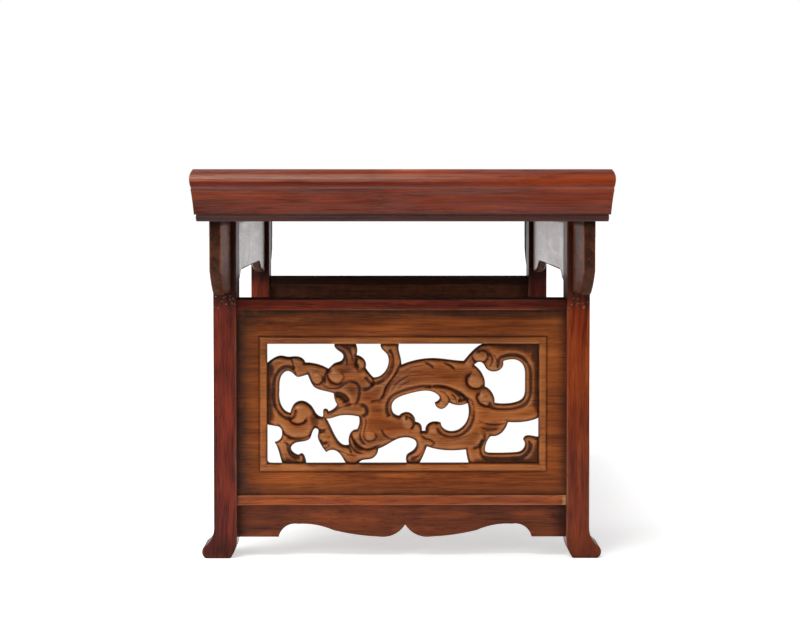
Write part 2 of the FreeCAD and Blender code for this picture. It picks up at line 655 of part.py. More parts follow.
def end_rail(name, foot, height, grooves):
    """An end rail between two legs, with tenons and with grooves for the boards that it holds."""
    crest = f"{foot} + {height}"
    corners = [(RAIL_FRONT, foot, 0), (RAIL_BACK, foot, 0), (RAIL_BACK, crest, 0), (RAIL_FRONT, crest, 0)]
    body, pad = padded(f"{name}_bar", "YZ_Plane", corners, f"2 * ({LEG_IN} - fit)")
    soften(body, pad, "rail_round", lambda edge: along(edge, "x"))
    tenoned = fuse(f"{name}_tenoned", body, box(f"{name}_tenon", *rail_tenon(foot, height)))
    return cut(name, tenoned, *grooves)


def both_ends(label, front):
    """Keeps a piece of the front end, and the same piece turned half round for the back end."""
    keep(f"{label}_front", front)
    turned = mirror(f"{label}_turned", mirror(f"{label}_opposite", front, "Y"), "X")
    keep(f"{label}_back", turned)


def make_end_rails():
    """Upper and lower end rails of both ends."""
    panel_housing = box("panel_housing", *panel_edges(), ease="fit")
    apron_housing = box("end_apron_housing", *end_apron_edges(), ease="fit")
    both_ends("end_rail_upper", end_rail("upper_rail", UPPER_RAIL, "upper_rail_height", [panel_housing]))
    lower = end_rail("lower_rail", LOWER_RAIL, "lower_rail_height", [panel_housing, apron_housing])
    both_ends("end_rail_lower", lower)


def piercing():
    """The sawn openings as one tool: each outline carried through the panel and its bead."""
    width = value(dims, f"2 * {FIELD_X}")
    height = value(dims, f"{FIELD_CREST} - {FIELD_FOOT}")
    shift = value(dims, "field_shift")
    foot = value(dims, FIELD_FOOT)
    front = value(dims, f"{PANEL_FRONT} - panel_thickness")
    through = FreeCAD.Vector(0, 3 * dims.get("panel_thickness"), 0)

    def place(point):
        """A drawn point on the real panel."""
        across = shift + (point[0] / DRAWN_WIDTH - 0.5) * width
        return FreeCAD.Vector(across, front, foot + point[1] / DRAWN_HEIGHT * height)

    prisms = []
    for runs in OPENINGS.values():
        edges = []
        reached = None
        for run in runs:
            points = [place(point) for point in run]
            if reached:
                points.insert(0, reached)
            reached = points[-1]
            if len(points) == 2:
                edges.append(Part.LineSegment(*points).toShape())
            else:
                curve = Part.BSplineCurve()
                curve.interpolate(points)
                edges.append(curve.toShape())
        prisms.append(Part.Face(Part.Wire(edges)).extrude(through))
    tool = doc.addObject("Part::Feature", "piercing")
    tool.Shape = Part.makeCompound(prisms)
    return tool


def make_end_panels():
    """Pierced end panels: one board each, with a bead raised round the carved field."""
    board = box("end_board", *panel_edges())
    field = (f"field_shift - {FIELD_X}", f"field_shift + {FIELD_X}")
    front = (f"{PANEL_FRONT} - bead_rise", f"{PANEL_FRONT} + bead_rise")
    outer = box(
        "bead_outer",
        (f"{field[0]} - bead_width", f"{field[1]} + bead_width"),
        front,
        (f"{FIELD_FOOT} - bead_width", f"{FIELD_CREST} + bead_width"),
    )
    hollow = (f"{PANEL_FRONT} - 2 * bead_rise", PANEL_FRONT)
    inner = box("bead_inner", field, hollow, (FIELD_FOOT, FIELD_CREST))
    beaded = fuse("end_board_beaded", board, cut("bead", outer, inner))
    both_ends("end_panel", cut("end_panel", beaded, piercing()))


def make_end_aprons():
    """Cusped boards between the feet: arches that run in long curves to a pointed notch."""
    ground = "end_apron_lift"
    (low_x, high_x), (front, back), (_, crest) = end_apron_edges()
    half = [
        ("0 * cusp_end", f"{ground} + notch_rise", LOBE_BULGE),
        ("cusp_lobe", ground, LONG_CURVE_BULGE),
        ("cusp_bend", f"{ground} + cusp_bend_rise", BEND_BULGE),
        ("cusp_arch", f"{ground} + cusp_rise", ARCH_BULGE),
        ("cusp_end", ground, 0),
    ]
    bulges = [bulge for _, _, bulge in half]
    right = [(f"cusp_shift + {x}", z, bulge) for x, z, bulge in half]
    left = [(f"cusp_shift - {x}", z, bulge) for (x, z, _), bulge in zip(reversed(half), reversed(bulges[:-1]))]
    ends = [(high_x, ground, 0), (high_x, crest, 0), (low_x, crest, 0), (low_x, ground, 0)]
    body, _ = padded("end_apron_board", "XZ_Plane", left + right + ends, "end_apron_thickness")
    bind(body, "Placement.Base.y", f"({front} + {back}) / 2")
    both_ends("end_apron", body)


def check():
    """Stops if any object failed, or if a piece isn't one valid solid."""
    doc.recompute()
    failed = [thing.Name for thing in doc.Objects if {"Invalid", "Error"} & set(thing.State)]
    for label, thing in pieces.items():
        shape = thing.Shape
        if shape.isNull() or not shape.isValid() or len(shape.Solids) != 1:
            failed.append(label)
    if failed:
        raise RuntimeError("failed: " + ", ".join(failed))


def export():
    """Writes each piece to its own file."""
    os.makedirs("parts", exist_ok=True)
    for label, thing in pieces.items():
        thing.Shape.exportStep(f"parts/{label}.step")
        size = thing.Shape.BoundBox
        print(f"{label}: {size.XLength:.2f} x {size.YLength:.2f} x {size.ZLength:.2f} mm")


make_top_frame()
make_top_panel()
make_aprons()
make_legs()
make_end_rails()
make_end_panels()
make_end_aprons()
check()
export()
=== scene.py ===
# %% [markdown]
# # A miniature altar table
# The real object is a small hardwood table, made of boards that are joined without a nail: a mitred frame
# round a floating panel, long aprons that pass through slots in the legs, and a pierced and carved board
# at each end. The solid model of its joinery is loaded first. It fixes every size, so each later cell only
# adds what a solid model lacks: the grain and polish of the wood, and the relief of the carving.

import math

import bpy
import numpy as np
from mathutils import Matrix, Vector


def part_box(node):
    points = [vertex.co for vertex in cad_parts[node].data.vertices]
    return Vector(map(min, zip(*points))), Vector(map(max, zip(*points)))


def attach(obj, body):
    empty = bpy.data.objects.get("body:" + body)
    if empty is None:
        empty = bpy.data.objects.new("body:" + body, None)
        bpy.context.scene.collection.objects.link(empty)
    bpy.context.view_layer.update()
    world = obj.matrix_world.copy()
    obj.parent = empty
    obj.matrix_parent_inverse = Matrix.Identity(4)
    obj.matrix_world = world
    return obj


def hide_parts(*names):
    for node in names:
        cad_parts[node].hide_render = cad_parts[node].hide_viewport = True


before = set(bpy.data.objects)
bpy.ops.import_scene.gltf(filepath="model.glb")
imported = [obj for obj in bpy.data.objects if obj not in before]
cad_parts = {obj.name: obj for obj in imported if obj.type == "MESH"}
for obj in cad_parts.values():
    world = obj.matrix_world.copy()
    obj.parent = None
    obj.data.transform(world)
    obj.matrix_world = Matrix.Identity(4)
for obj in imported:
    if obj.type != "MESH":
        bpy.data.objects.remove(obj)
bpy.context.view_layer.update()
MM = 0.001

# %% [markdown]
# ## Shader maths that reads like maths
# A wood finish is mostly arithmetic on noise. Wiring Math nodes by hand hides that arithmetic, so a small
# class wraps one socket and turns each Python operator into a Math node. Every other kind of node comes
# from one method, `add`, which takes the node's type, its settings and what goes into its sockets.

# %% A socket that can be added and multiplied
class Signal:
    """One output socket of a finish. An operator on signals, or a signal and a number, is a Math node."""

    def __init__(self, finish, socket):
        self.finish = finish
        self.socket = socket

    def math(self, operation, *others):
        """The Math node of this operation on the signal and the others."""
        return self.finish.add("Math", {"operation": operation}, dict(enumerate((self, *others))))

    def __add__(self, other):
        return self.math("ADD", other)

    def __sub__(self, other):
        return self.math("SUBTRACT", other)

    def __rsub__(self, other):
        return self.finish.add("Math", {"operation": "SUBTRACT"}, {0: other, 1: self})

    def __mul__(self, other):
        return self.math("MULTIPLY", other)

    __radd__ = __add__
    __rmul__ = __mul__

    def least(self, other):
        """The smaller of two values."""
        return self.math("MINIMUM", other)

    def most(self, other):
        """The larger of two values."""
        return self.math("MAXIMUM", other)

    def rise(self, low, high):
        """0 below low, 1 above high and a smooth step between them; low may be the larger one."""
        return self.finish.add(
            "MapRange",
            {"interpolation_type": "SMOOTHSTEP"},
            {"Value": self, "From Min": low, "From Max": high, "To Min": 0.0, "To Max": 1.0},
        )


print("a signal has", [name for name in vars(Signal) if not name.startswith("_")])


# %% A tree of nodes that is being wired
class Finish:
    """A material, or the world, whose nodes are being wired."""

    def __init__(self, owner):
        self.owner = owner
        owner.use_nodes = True
        self.tree = owner.node_tree
        self.tree.nodes.clear()

    def add(self, kind, settings=None, sockets=None, output=0):
        """A node of this type: its settings are set first, then its sockets are linked or given values."""
        node = self.tree.nodes.new("ShaderNode" + kind)
        for key, setting in (settings or {}).items():
            setattr(node, key, setting)
        for key, value in (sockets or {}).items():
            if isinstance(value, Signal):
                self.tree.links.new(value.socket, node.inputs[key])
            else:
                node.inputs[key].default_value = value
        return Signal(self, node.outputs[output])

    def blend(self, share, first, second, mode="MIX"):
        """The first colour with a share of the second one laid over it."""
        sockets = {"Factor": share, 6: first, 7: second}
        return self.add("Mix", {"data_type": "RGBA", "blend_type": mode}, sockets, output=2)

    def noise(self, place, scale, detail=2.0, roughness=0.5):
        """Smooth noise, from 0 to 1, about 0.5 on average."""
        sockets = {"Vector": place, "Scale": scale, "Detail": detail, "Roughness": roughness}
        return self.add("TexNoise", None, sockets)

    def parts(self, vector):
        """The three numbers of a vector."""
        return [self.add("SeparateXYZ", None, {0: vector}, output=axis) for axis in range(3)]

    def rays(self, *kinds):
        """1 for rays of these kinds and 0 for all others."""
        found, *others = (self.add("LightPath", output=f"Is {kind} Ray") for kind in kinds)
        for other in others:
            found = found.most(other)
        return found

    def end(self, shader, kind="OutputMaterial"):
        """Ends the tree with its shader and gives back the material or world."""
        output = self.tree.nodes.new("ShaderNode" + kind)
        self.tree.links.new(shader.socket, output.inputs["Surface"])
        return self.owner


def tint(red, green, blue):
    """A colour picked on screen, 0 to 255, as the linear colour that a shader takes."""
    shares = np.array([red, green, blue]) / 255
    linear = np.where(shares <= 0.04045, shares / 12.92, ((shares + 0.055) / 1.055) ** 2.4)
    return (*linear, 1.0)


print("a mid red-brown is", [round(part, 3) for part in tint(120, 60, 40)])

# %% [markdown]
# ## The wood: its grain
# The boards are a dense red-brown hardwood, oiled and rubbed to a soft gloss. Its figure has several layers:
# broad bands of dark and light heartwood, thin streaks, short dashes, fine fibres and open pores that hold
# dark wax. Each layer is the same noise, stretched by a different amount along the board. An image could do
# it too, but noise has no seams and follows every board's own length.

# %% Layers of the grain
AXES = {"x": (0, 1, 2), "y": (1, 0, 2), "z": (2, 0, 1)}
SWAY = 5.0
SEED_ALONG = 7.3
SEED_ACROSS = 3.1
# Length and width in millimetres, detail and roughness of the noise and, for a layer that is a mask, the two
# values of the noise between which it comes in.
LAYERS = {
    "sway": (45, 18, 1.0, 0.5, None),
    "band": (90, 7, 3.0, 0.5, (0.38, 0.62)),
    "streak": (60, 1.6, 3.0, 0.6, None),
    "dash": (11, 0.6, 2.0, 0.5, (0.52, 0.7)),
    "fibre": (14, 0.22, 2.0, 0.5, None),
    "pore": (5, 0.35, 1.0, 0.5, (0.63, 0.74)),
    "patch": (30, 24, 2.0, 0.5, (0.35, 0.7)),
    "glint": (24, 3.4, 2.0, 0.5, (0.5, 0.68)),
    "haze": (40, 2.6, 2.0, 0.5, (0.45, 0.62)),
    "chisel": (2.6, 1.1, 1.0, 0.5, None),
}


def grain_layers(finish, parts, grain, seed, stretch):
    """A function that gives a layer by its name: noise of (along / length, across / width, deep / width).

    The parts are a place in millimetres, and the grain is the axis that the fibres follow, swaying a little.
    The stretch lengthens every layer, and each seed takes its own part of the noise.
    """
    along, across, deep = (parts[axis] for axis in AXES[grain])

    def layer_at(name, across):
        """The layer, with the place across the grain given."""
        length, width, detail, roughness, ramp = LAYERS[name]
        place = {0: along * (1 / (length * stretch)) + seed * SEED_ALONG}
        place.update({1: across * (1 / width) + seed * SEED_ACROSS, 2: deep * (1 / width)})
        noise = finish.noise(finish.add("CombineXYZ", None, place), 1.0, detail, roughness)
        return noise.rise(*ramp) if ramp else noise

    swaying = across + (layer_at("sway", across) - 0.5) * SWAY
    return lambda name: layer_at(name, swaying)


print("layers of the grain:", ", ".join(LAYERS))

# %% [markdown]
# ## The wood: polish, wear, wax and painted light
# Over the grain lie the traces of use, and painted light. Hands have rubbed the edges paler and each arris
# carries a painted highlight, wax and painted shade darken the corners, and old polish has a greyish haze,
# its bloom. They could be painted by hand, but then no other board could take them. Here each is a mask,
# worked out from the distance to the sides of the board's own box and made ragged by the grain, so that
# nothing ends at a ruled line.

# %% Colours of wax, wear and painted light
# Wax and painted shade: most marks in this colour paint the shade under and beside other parts.
WAX_AND_SHADE = tint(26, 14, 9)
# Dust and painted shade in the hollows of the carving.
DUST_AND_SHADE = tint(56, 33, 22)
CREAM = tint(206, 158, 104)
# Pale wear on the edges, and the painted highlight along each arris.
WORN_AND_HIGHLIGHT = tint(196, 132, 92)
# A painted highlight on the moulding of the top.
ROSE_HIGHLIGHT = tint(184, 120, 98)
# Painted shade where the moulding of the top turns down.
WINE_SHADE = tint(112, 28, 1)
# Orange that takes the place of that painted shade and highlight towards the top's right end.
AMBER = tint(158, 60, 8)
BLOOM = tint(112, 66, 58)
DUSK = tint(80, 42, 36)
FLECK = tint(196, 174, 156)
SAWN = tint(74, 56, 46)
RIDGE = tint(206, 132, 70)
# Specks without a grain: units of noise in a metre, its detail and roughness, and the two values between
# which they come in.
SPECKS = {
    "stain": (190.0, 3.0, 0.6, (0.45, 0.62)),
    "fleck": (800.0, 2.0, 0.7, (0.655, 0.69)),
    "grime": (260.0, 3.0, 0.6, (0.35, 0.7)),
}


def mixed(first, second, share):
    """One colour with a share of another in it."""
    return tuple(np.array(first) * (1 - share) + np.array(second) * share)


print("kinds of specks:", ", ".join(SPECKS))


# %% Places on a board
RAGGED = 0.6


def board_margins(parts, low, high):
    """Millimetres from a place to the nearer side of a box along each axis, and to the box's nearest edge.

    Two of the three margins are small at an edge, so the distance to it is the middle one of the three.
    """
    margins = [(part - start / MM).least(end / MM - part) for part, start, end in zip(parts, low, high)]
    first, second, third = margins
    return margins, first.most(second).least(second.most(third)).least(first.most(third))


def mark_share(parts, low, streak, axes, ramps, share):
    """How much of a mark lies at a place: its share times a ragged smooth step on each ramp."""
    for axis, (none, full) in zip(axes, ramps):
        number = "xyz".index(axis)
        ragged = (streak - 0.5) * (abs(full - none) * RAGGED)
        share = (parts[number] - low[number] / MM + ragged).rise(none, full) * share
    return share


print("a mark is ragged over", RAGGED, "of its ramp")

# %% Strength of each layer
# How far the layers lighten, shade, dull and raise the wood.
STREAK_RAMP = (0.42, 0.62)
FIBRE_RAMP = (0.45, 0.7)
PATCH_LIGHT = 0.4
GLINT_LIGHT = 0.4
FIBRE_LIGHT = 0.25
PORE_SHADE = 0.42
FIBRE_SHADE = 0.32
DASH_SHADE = 0.38
PORE_DULL = 0.22
FIBRE_DULL = 0.12
PATCH_DULL = 0.08
STREAK_HEIGHT = 0.35
FIBRE_HEIGHT = 0.5
PORE_DEPTH = 0.9
DASH_DEPTH = 0.3
CHISEL_HEIGHT = 2.4
BUMP = {"Strength": 0.22, "Distance": 0.12 * MM}
COAT_ROUGHNESS = 0.22
REFRACTION = 1.5
# Rubbed edges, and a painted highlight along each arris: millimetres from the edge at which they begin
# and are full, and how ragged they are.
RUB_RAMP = (2.4, 0.5)
RUB_FIBRE = 0.8
RUB_PATCH = 1.2
ARRIS_RAMP = (0.75, 0.2)
ARRIS_PATCH = 0.4
RUB_SHARE = 0.6
WORN_AND_HIGHLIGHT_SHARE = 0.4
WAX_AND_SHADE_DULL = 0.35
# Polished sides, the sawn edges between them, and the board's ends, in millimetres and shares.
SIDE_RAMP = (0.1, 0.7)
SIDE_COAT = 0.68
GLINT_COAT = 0.3
STREAK_COAT = 0.4
PORE_COAT = 0.5
SAWN_SHARE = 0.6
SAWN_SHADE = 0.15
STAIN_SHADE = 0.42
SAWN_DULL = 0.3
END_RAMP = (48.0, 42.0)
END_DULL = 0.15
END_LOSS = 0.9
# Scuffs on the legs, and dust and painted shade in the carving.
SCUFF_FADE = 2.0
FLECK_SHARE = 0.6
HOLLOW_DARK = 0.88
GRIME_DARK = 0.2
DARK_MOST = 0.97
RIDGE_COAT = 0.7
print("coat roughness:", COAT_ROUGHNESS, "bump:", BUMP)

# %% The wood finish
FIGURE = ("band", "streak", "dash", "fibre", "pore", "patch", "glint")


def wood(
    name, grain, seed, tones, node=None, stretch=1.0, bands=0.5, gloss=0.36, coat=0.1, shine=0.3, rub=0.5,
    bloom=0.0, marks=(), scuffs=None, sides=None, sawn_edges=False, hollows=False,
):
    """Polished hardwood with its fibres along one axis of the table.

    The tones are dark, middle and light. Dull is the roughness and polish the weight of the coat. A mark is
    (axes, ramps, share, colour), with one letter of the axes for each ramp: the colour comes in from none to
    full on every ramp, measured along its axis from the board's low end. The mark of wax and painted shade is
    dull too, and it, the painted wine shade and the amber of the top's moulding have no coat. Scuffs are
    flecks between two heights. Sides is the axis across the polished sides, the only ones with a coat. Sawn
    edges between them are dull and dark, and such a board has lost most of its polish near its ends. Rubbed
    edges are paler, with a painted highlight along each arris. Hollows are those of a carved board, which has
    them as a layer of dust and painted shade, with ridges painted paler, rubbed and partly a painted
    highlight.
    """
    finish = Finish(bpy.data.materials.new(name))
    dark, middle, light = tones
    object_place = finish.add("TexCoord", output="Object")
    parts = [part * (1 / MM) for part in finish.parts(object_place)]
    layer = grain_layers(finish, parts, grain, seed, stretch)
    band, streak, dash, fibre, pore, patch, glint = (layer(figure) for figure in FIGURE)

    def specks(kind):
        """Specks of this kind, all over the board."""
        scale, detail, roughness, ramp = SPECKS[kind]
        return finish.noise(object_place, scale, detail, roughness).rise(*ramp)

    colour = finish.blend(band * bands + streak.rise(*STREAK_RAMP) * (1 - bands), middle, dark)
    lighter = patch * PATCH_LIGHT + glint * GLINT_LIGHT + fibre.rise(*FIBRE_RAMP) * FIBRE_LIGHT
    colour = finish.blend(lighter, colour, light)
    if bloom:
        colour = finish.blend(layer("haze") * bloom, colour, BLOOM)
    shade = (1.0 - pore * PORE_SHADE) * (1.0 - dash * DASH_SHADE)
    shade = shade * (fibre * FIBRE_SHADE + (1 - FIBRE_SHADE / 2))
    dull = gloss + (fibre - 0.5) * FIBRE_DULL + pore * PORE_DULL + (patch - 0.5) * PATCH_DULL
    polish = coat
    if node:
        low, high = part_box(node)
        margins, to_edge = board_margins(parts, low, high)
        # The broad rubbed band is wear; the crisp line along each arris is a painted highlight.
        rubbed = (to_edge + fibre * RUB_FIBRE + patch * RUB_PATCH).rise(*RUB_RAMP)
        arris = (to_edge + patch * ARRIS_PATCH).rise(*ARRIS_RAMP)
        wear_and_highlight = ((rubbed + arris) * (RUB_SHARE * rub)).least(1.0)
        colour = finish.blend(wear_and_highlight, colour, mixed(light, WORN_AND_HIGHLIGHT, WORN_AND_HIGHLIGHT_SHARE))
        # Most marks are painted shade, or on the top's moulding a painted highlight; the cream one is a chip.
        for axes, ramps, most, mark in marks:
            share = mark_share(parts, low, streak, axes, ramps, most)
            colour = finish.blend(share, colour, mark)
            # The mark of wax and painted shade is also duller; it and the moulding's painted marks lose the
            # coat.
            if mark == WAX_AND_SHADE:
                dull = dull + share * WAX_AND_SHADE_DULL
            if mark in (WAX_AND_SHADE, WINE_SHADE, AMBER):
                polish = (1.0 - share) * polish
        if sides:
            between = margins["xyz".index(sides)].rise(*SIDE_RAMP)
            sheen = glint * GLINT_COAT + streak * STREAK_COAT - pore * PORE_COAT + SIDE_COAT
            polish = (1.0 - between) * sheen * polish
        if sawn_edges:
            colour = finish.blend(between * SAWN_SHARE, colour, SAWN)
            shade = shade * (1.0 - between * (specks("stain") * STAIN_SHADE + SAWN_SHADE))
            ends = margins[AXES[grain][0]].rise(*END_RAMP)
            dull = dull + between * SAWN_DULL + ends * END_DULL
            polish = (1.0 - ends * END_LOSS) * polish
    if scuffs:
        bottom, top = scuffs
        window = parts[2].rise(bottom, bottom + SCUFF_FADE) * parts[2].rise(top, top - SCUFF_FADE)
        colour = finish.blend(specks("fleck") * window * FLECK_SHARE, colour, FLECK)
    height = streak * STREAK_HEIGHT + fibre * FIBRE_HEIGHT - pore * PORE_DEPTH - dash * DASH_DEPTH
    if hollows:
        hollow = finish.add("Attribute", {"attribute_name": "hollow"}, output="Fac")
        crest = finish.add("Attribute", {"attribute_name": "crest"}, output="Fac")
        # The carving's dark layer is dust and painted shade.
        dust_and_shade_share = (hollow * (specks("grime") * GRIME_DARK + HOLLOW_DARK)).least(DARK_MOST)
        # Ridges painted paler: rubbed wood, and partly a painted highlight.
        colour = finish.blend(crest, colour, RIDGE)
        colour = finish.blend(dust_and_shade_share, colour, DUST_AND_SHADE)
        polish = crest * RIDGE_COAT
        height = height + layer("chisel") * CHISEL_HEIGHT
    shades = finish.add("CombineXYZ", None, {axis: shade for axis in range(3)})
    colour = finish.blend(1.0, colour, shades, "MULTIPLY")
    bump = finish.add("Bump", None, {**BUMP, "Height": height})
    sockets = {"Base Color": colour, "Roughness": dull, "Coat Weight": polish, "Normal": bump}
    sockets.update({"Specular IOR Level": shine, "Coat Roughness": COAT_ROUGHNESS, "IOR": REFRACTION})
    return finish.end(finish.add("BsdfPrincipled", None, sockets))


RED = (tint(62, 27, 20), tint(120, 47, 28), tint(160, 75, 47))
MAROON = (tint(46, 16, 14), tint(96, 36, 27), tint(134, 52, 34))
RUSSET = (tint(76, 21, 9), tint(142, 52, 18), tint(182, 82, 32))
CHESTNUT = (tint(84, 29, 11), tint(144, 61, 21), tint(183, 93, 37))
GOLDEN = (tint(78, 32, 11), tint(146, 70, 25), tint(196, 107, 45))
UMBER = (tint(56, 26, 15), tint(106, 49, 26), tint(146, 72, 36))
CRIMSON = (tint(54, 14, 8), tint(104, 32, 18), tint(140, 54, 30))
# Tones of the far upper rail: its inner side is in shade, and the shade is painted into them.
SHADED_CRIMSON = (tint(22, 10, 6), tint(40, 18, 10), tint(56, 26, 14))
print("tones: dark, middle and light of each kind of board")

# %% [markdown]
# ## Each board gets its own piece of timber
# Two boards never share their figure, so every board has its own seed, and its grain runs along its own
# length: across the table in the end rails, upright in the legs, lengthwise in the aprons and the top. One
# finish with a few settings could be copied for each board; a table of settings shows at a glance how they
# differ, such as the painted shade at the ends of the rails or the scuffs on the front legs.

# %% Settings of the boards
TOP = {"stretch": 2.0, "bands": 0.6, "gloss": 0.3, "coat": 0.25, "shine": 0.32, "bloom": 0.62}
# Painted light on the top's edge: shade on the lower fillet and the turned-down bead, a highlight above.
TOP["marks"] = [
    ("z", [(3.6, 2.6)], 0.66, WAX_AND_SHADE),
    ("zz", [(13.2, 14.0), (16.0, 15.2)], 0.88, WINE_SHADE),
    ("zzx", [(15.2, 16.0), (19.0, 18.0), (140.0, 70.0)], 0.45, ROSE_HIGHLIGHT),
    ("zzx", [(13.4, 14.4), (19.4, 17.0), (70.0, 150.0)], 0.66, AMBER),
]
TOP_PANEL = {**TOP, "marks": (), "rub": 0.2}
BATTEN = {"gloss": 0.5, "coat": 0.0}
LEG = {"bands": 0.4, "shine": 0.12, "coat": 0.8, "sides": "x"}
# Painted shade on a leg under the top and the aprons; lower down the leg darkens towards the floor.
LEG["marks"] = [
    ("z", [(103.0, 111.0)], 0.74, WAX_AND_SHADE),
    ("z", [(12.0, 3.0)], 0.35, WAX_AND_SHADE),
    ("z", [(1.6, 0.4)], 0.5, WAX_AND_SHADE),
]
FRONT_LEG = {**LEG, "scuffs": (104.0, 113.0)}
RIGHT_LEG = {**FRONT_LEG, "marks": LEG["marks"] + [("z", [(80.0, 30.0)], 0.45, DUSK)]}
APRON = {"rub": 0.25, "sides": "x", "sawn_edges": True, "shine": 0.1, "coat": 0.62}
# Painted shadow along the top of an apron, under the tabletop.
APRON["marks"] = [("z", [(28.4, 30.2)], 0.8, WAX_AND_SHADE)]
# Past the far legs, the inner side of an apron is dull, and painted with shade.
FAR_END = (284.0, 288.0)
LEFT_APRON = {**APRON, "marks": APRON["marks"] + [("yx", [FAR_END, (3.6, 4.4)], 0.95, WAX_AND_SHADE)]}
RIGHT_APRON = {**APRON, "marks": APRON["marks"] + [("yx", [FAR_END, (1.0, 0.2)], 0.95, WAX_AND_SHADE)]}
LOW_RAIL = {"rub": 0.8, "bands": 0.3, "shine": 0.22, "coat": 0.0}
LOW_RAIL["marks"] = [("x", [(142.4, 143.4)], 0.8, CREAM)]
HIGH_RAIL = {"bands": 0.4, "gloss": 0.5, "coat": 0.0, "shine": 0.1}
# Painted shade on an upper rail: at both ends beside the legs, and along its top under the overhang.
HIGH_RAIL["marks"] = [
    ("x", [(126.0, 144.0)], 0.55, WAX_AND_SHADE),
    ("x", [(14.0, 4.0)], 0.3, WAX_AND_SHADE),
    ("z", [(4.1, 4.6)], 0.8, WAX_AND_SHADE),
]
END_APRON = {"rub": 0.3, "gloss": 0.45, "coat": 0.0, "shine": 0.15}
# Painted shade at both ends of an end apron, beside the legs.
END_APRON["marks"] = [("x", [(9.0, 3.0)], 0.55, WAX_AND_SHADE), ("x", [(135.0, 142.0)], 0.65, WAX_AND_SHADE)]
print("marks on the top:", len(TOP["marks"]), "and on a leg:", len(LEG["marks"]))

# %% Dress the boards
BOARDS = {
    "top_end_rail_front": ("x", RED, TOP),
    "top_end_rail_back": ("x", RED, TOP),
    "top_long_rail_left": ("y", RED, TOP),
    "top_long_rail_right": ("y", RED, TOP),
    "top_panel": ("y", RED, TOP_PANEL),
    "top_batten_front": ("x", UMBER, BATTEN),
    "top_batten_middle": ("x", UMBER, BATTEN),
    "top_batten_back": ("x", UMBER, BATTEN),
    "apron_left": ("y", UMBER, LEFT_APRON),
    "apron_right": ("y", UMBER, RIGHT_APRON),
    "leg_front_left": ("z", MAROON, FRONT_LEG),
    "leg_front_right": ("z", RUSSET, RIGHT_LEG),
    "leg_back_left": ("z", CRIMSON, LEG),
    "leg_back_right": ("z", MAROON, LEG),
    "end_rail_upper_front": ("x", CRIMSON, HIGH_RAIL),
    # The far upper rail is seen from its shaded inner side: its darker tones are painted shade.
    "end_rail_upper_back": ("x", SHADED_CRIMSON, HIGH_RAIL),
    "end_rail_lower_front": ("x", CHESTNUT, LOW_RAIL),
    "end_rail_lower_back": ("x", CHESTNUT, LOW_RAIL),
    "end_apron_front": ("x", UMBER, END_APRON),
    "end_apron_back": ("x", UMBER, END_APRON),
}
for number, (name, (grain, tones, settings)) in enumerate(BOARDS.items(), 1):
    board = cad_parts[name]
    board.data.materials.clear()
    board.data.materials.append(wood(name + "_wood", grain, number, tones, name, **settings))
print("dressed boards:", len(BOARDS))

# %% [markdown]
# ## The carved boards: where the openings are
# Each end holds one board, pierced and carved as a beast with a curling tail among scrolls. The solid board
# has the openings and a bead round them, but a flat face. The relief could be sculpted by hand; here it is a
# height over the face, because that is how a carver works: the wood between the openings is rounded over,
# lines are cut in, and bosses are left high. The openings are read from the solid board, so both agree.

# %% Read the openings from the solid board
board_low, board_high = (np.array(corner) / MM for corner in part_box("end_panel_front"))
face_low, face_high = board_low[[0, 2]], board_high[[0, 2]]
BOARD_BACK = board_high[1]
BOARD_EDGE = 6.0
TOUCHING = 0.01


def opening_edges(board):
    """The edges of the openings on the board's back: the side of each wall triangle that lies there."""
    mesh = board.data
    mesh.calc_loop_triangles()
    places = np.empty(3 * len(mesh.vertices))
    mesh.vertices.foreach_get("co", places)
    corners = np.empty(3 * len(mesh.loop_triangles), dtype=np.int32)
    mesh.loop_triangles.foreach_get("vertices", corners)
    triangles = places.reshape(-1, 3)[corners].reshape(-1, 3, 3) / MM
    behind = np.abs(triangles[:, :, 1] - BOARD_BACK) < TOUCHING
    walls = behind.sum(axis=1) == 2
    edges = triangles[walls][behind[walls]].reshape(-1, 2, 3)[:, :, [0, 2]]
    low = face_low + BOARD_EDGE
    high = face_high - BOARD_EDGE
    edges = edges[((edges > low) & (edges < high)).all(axis=(1, 2))]
    return edges[:, 0], edges[:, 1]


edge_starts, edge_ends = opening_edges(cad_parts["end_panel_front"])
field_low = edge_starts.min(axis=0)
field_high = edge_starts.max(axis=0)
field_middle = (field_low + field_high) / 2
print("opening edges:", len(edge_starts), "field:", field_low.round(2), field_high.round(2))

# %% Measure from the openings
BLOCK = 1200


def nearest_on_edges(points, starts, ends):
    """For each point: its distance to the nearest edge, the nearest place on it, and that edge's number.

    The nearest place on an edge is its start plus its run times a share: the offset from the start,
    projected on the run and kept between 0 and 1.
    """
    runs = ends - starts
    squares = np.maximum((runs**2).sum(axis=1), 1e-9)
    found = []
    for block in np.array_split(points, len(points) // BLOCK + 1):
        offsets = block[:, None] - starts
        shares = np.clip((offsets * runs).sum(axis=2) / squares, 0, 1)
        gaps = ((offsets - shares[..., None] * runs) ** 2).sum(axis=2)
        best = gaps.argmin(axis=1)
        rows = np.arange(len(block))
        found.append((np.sqrt(gaps[rows, best]), starts[best] + shares[rows, best, None] * runs[best], best))
    return [np.concatenate(part) for part in zip(*found)]


def in_opening(points, starts, ends):
    """True where a level line from the point to the right crosses an odd number of edges."""
    rise = ends[:, 1] - starts[:, 1]
    slope = (ends[:, 0] - starts[:, 0]) / np.where(rise == 0, 1, rise)
    found = []
    for block in np.array_split(points, len(points) // BLOCK + 1):
        across, up = block[:, :1], block[:, 1:]
        level = (starts[:, 1] > up) != (ends[:, 1] > up)
        meets = starts[:, 0] + (up - starts[:, 1]) * slope
        found.append((level & (across < meets)).sum(axis=1) % 2 == 1)
    return np.concatenate(found)


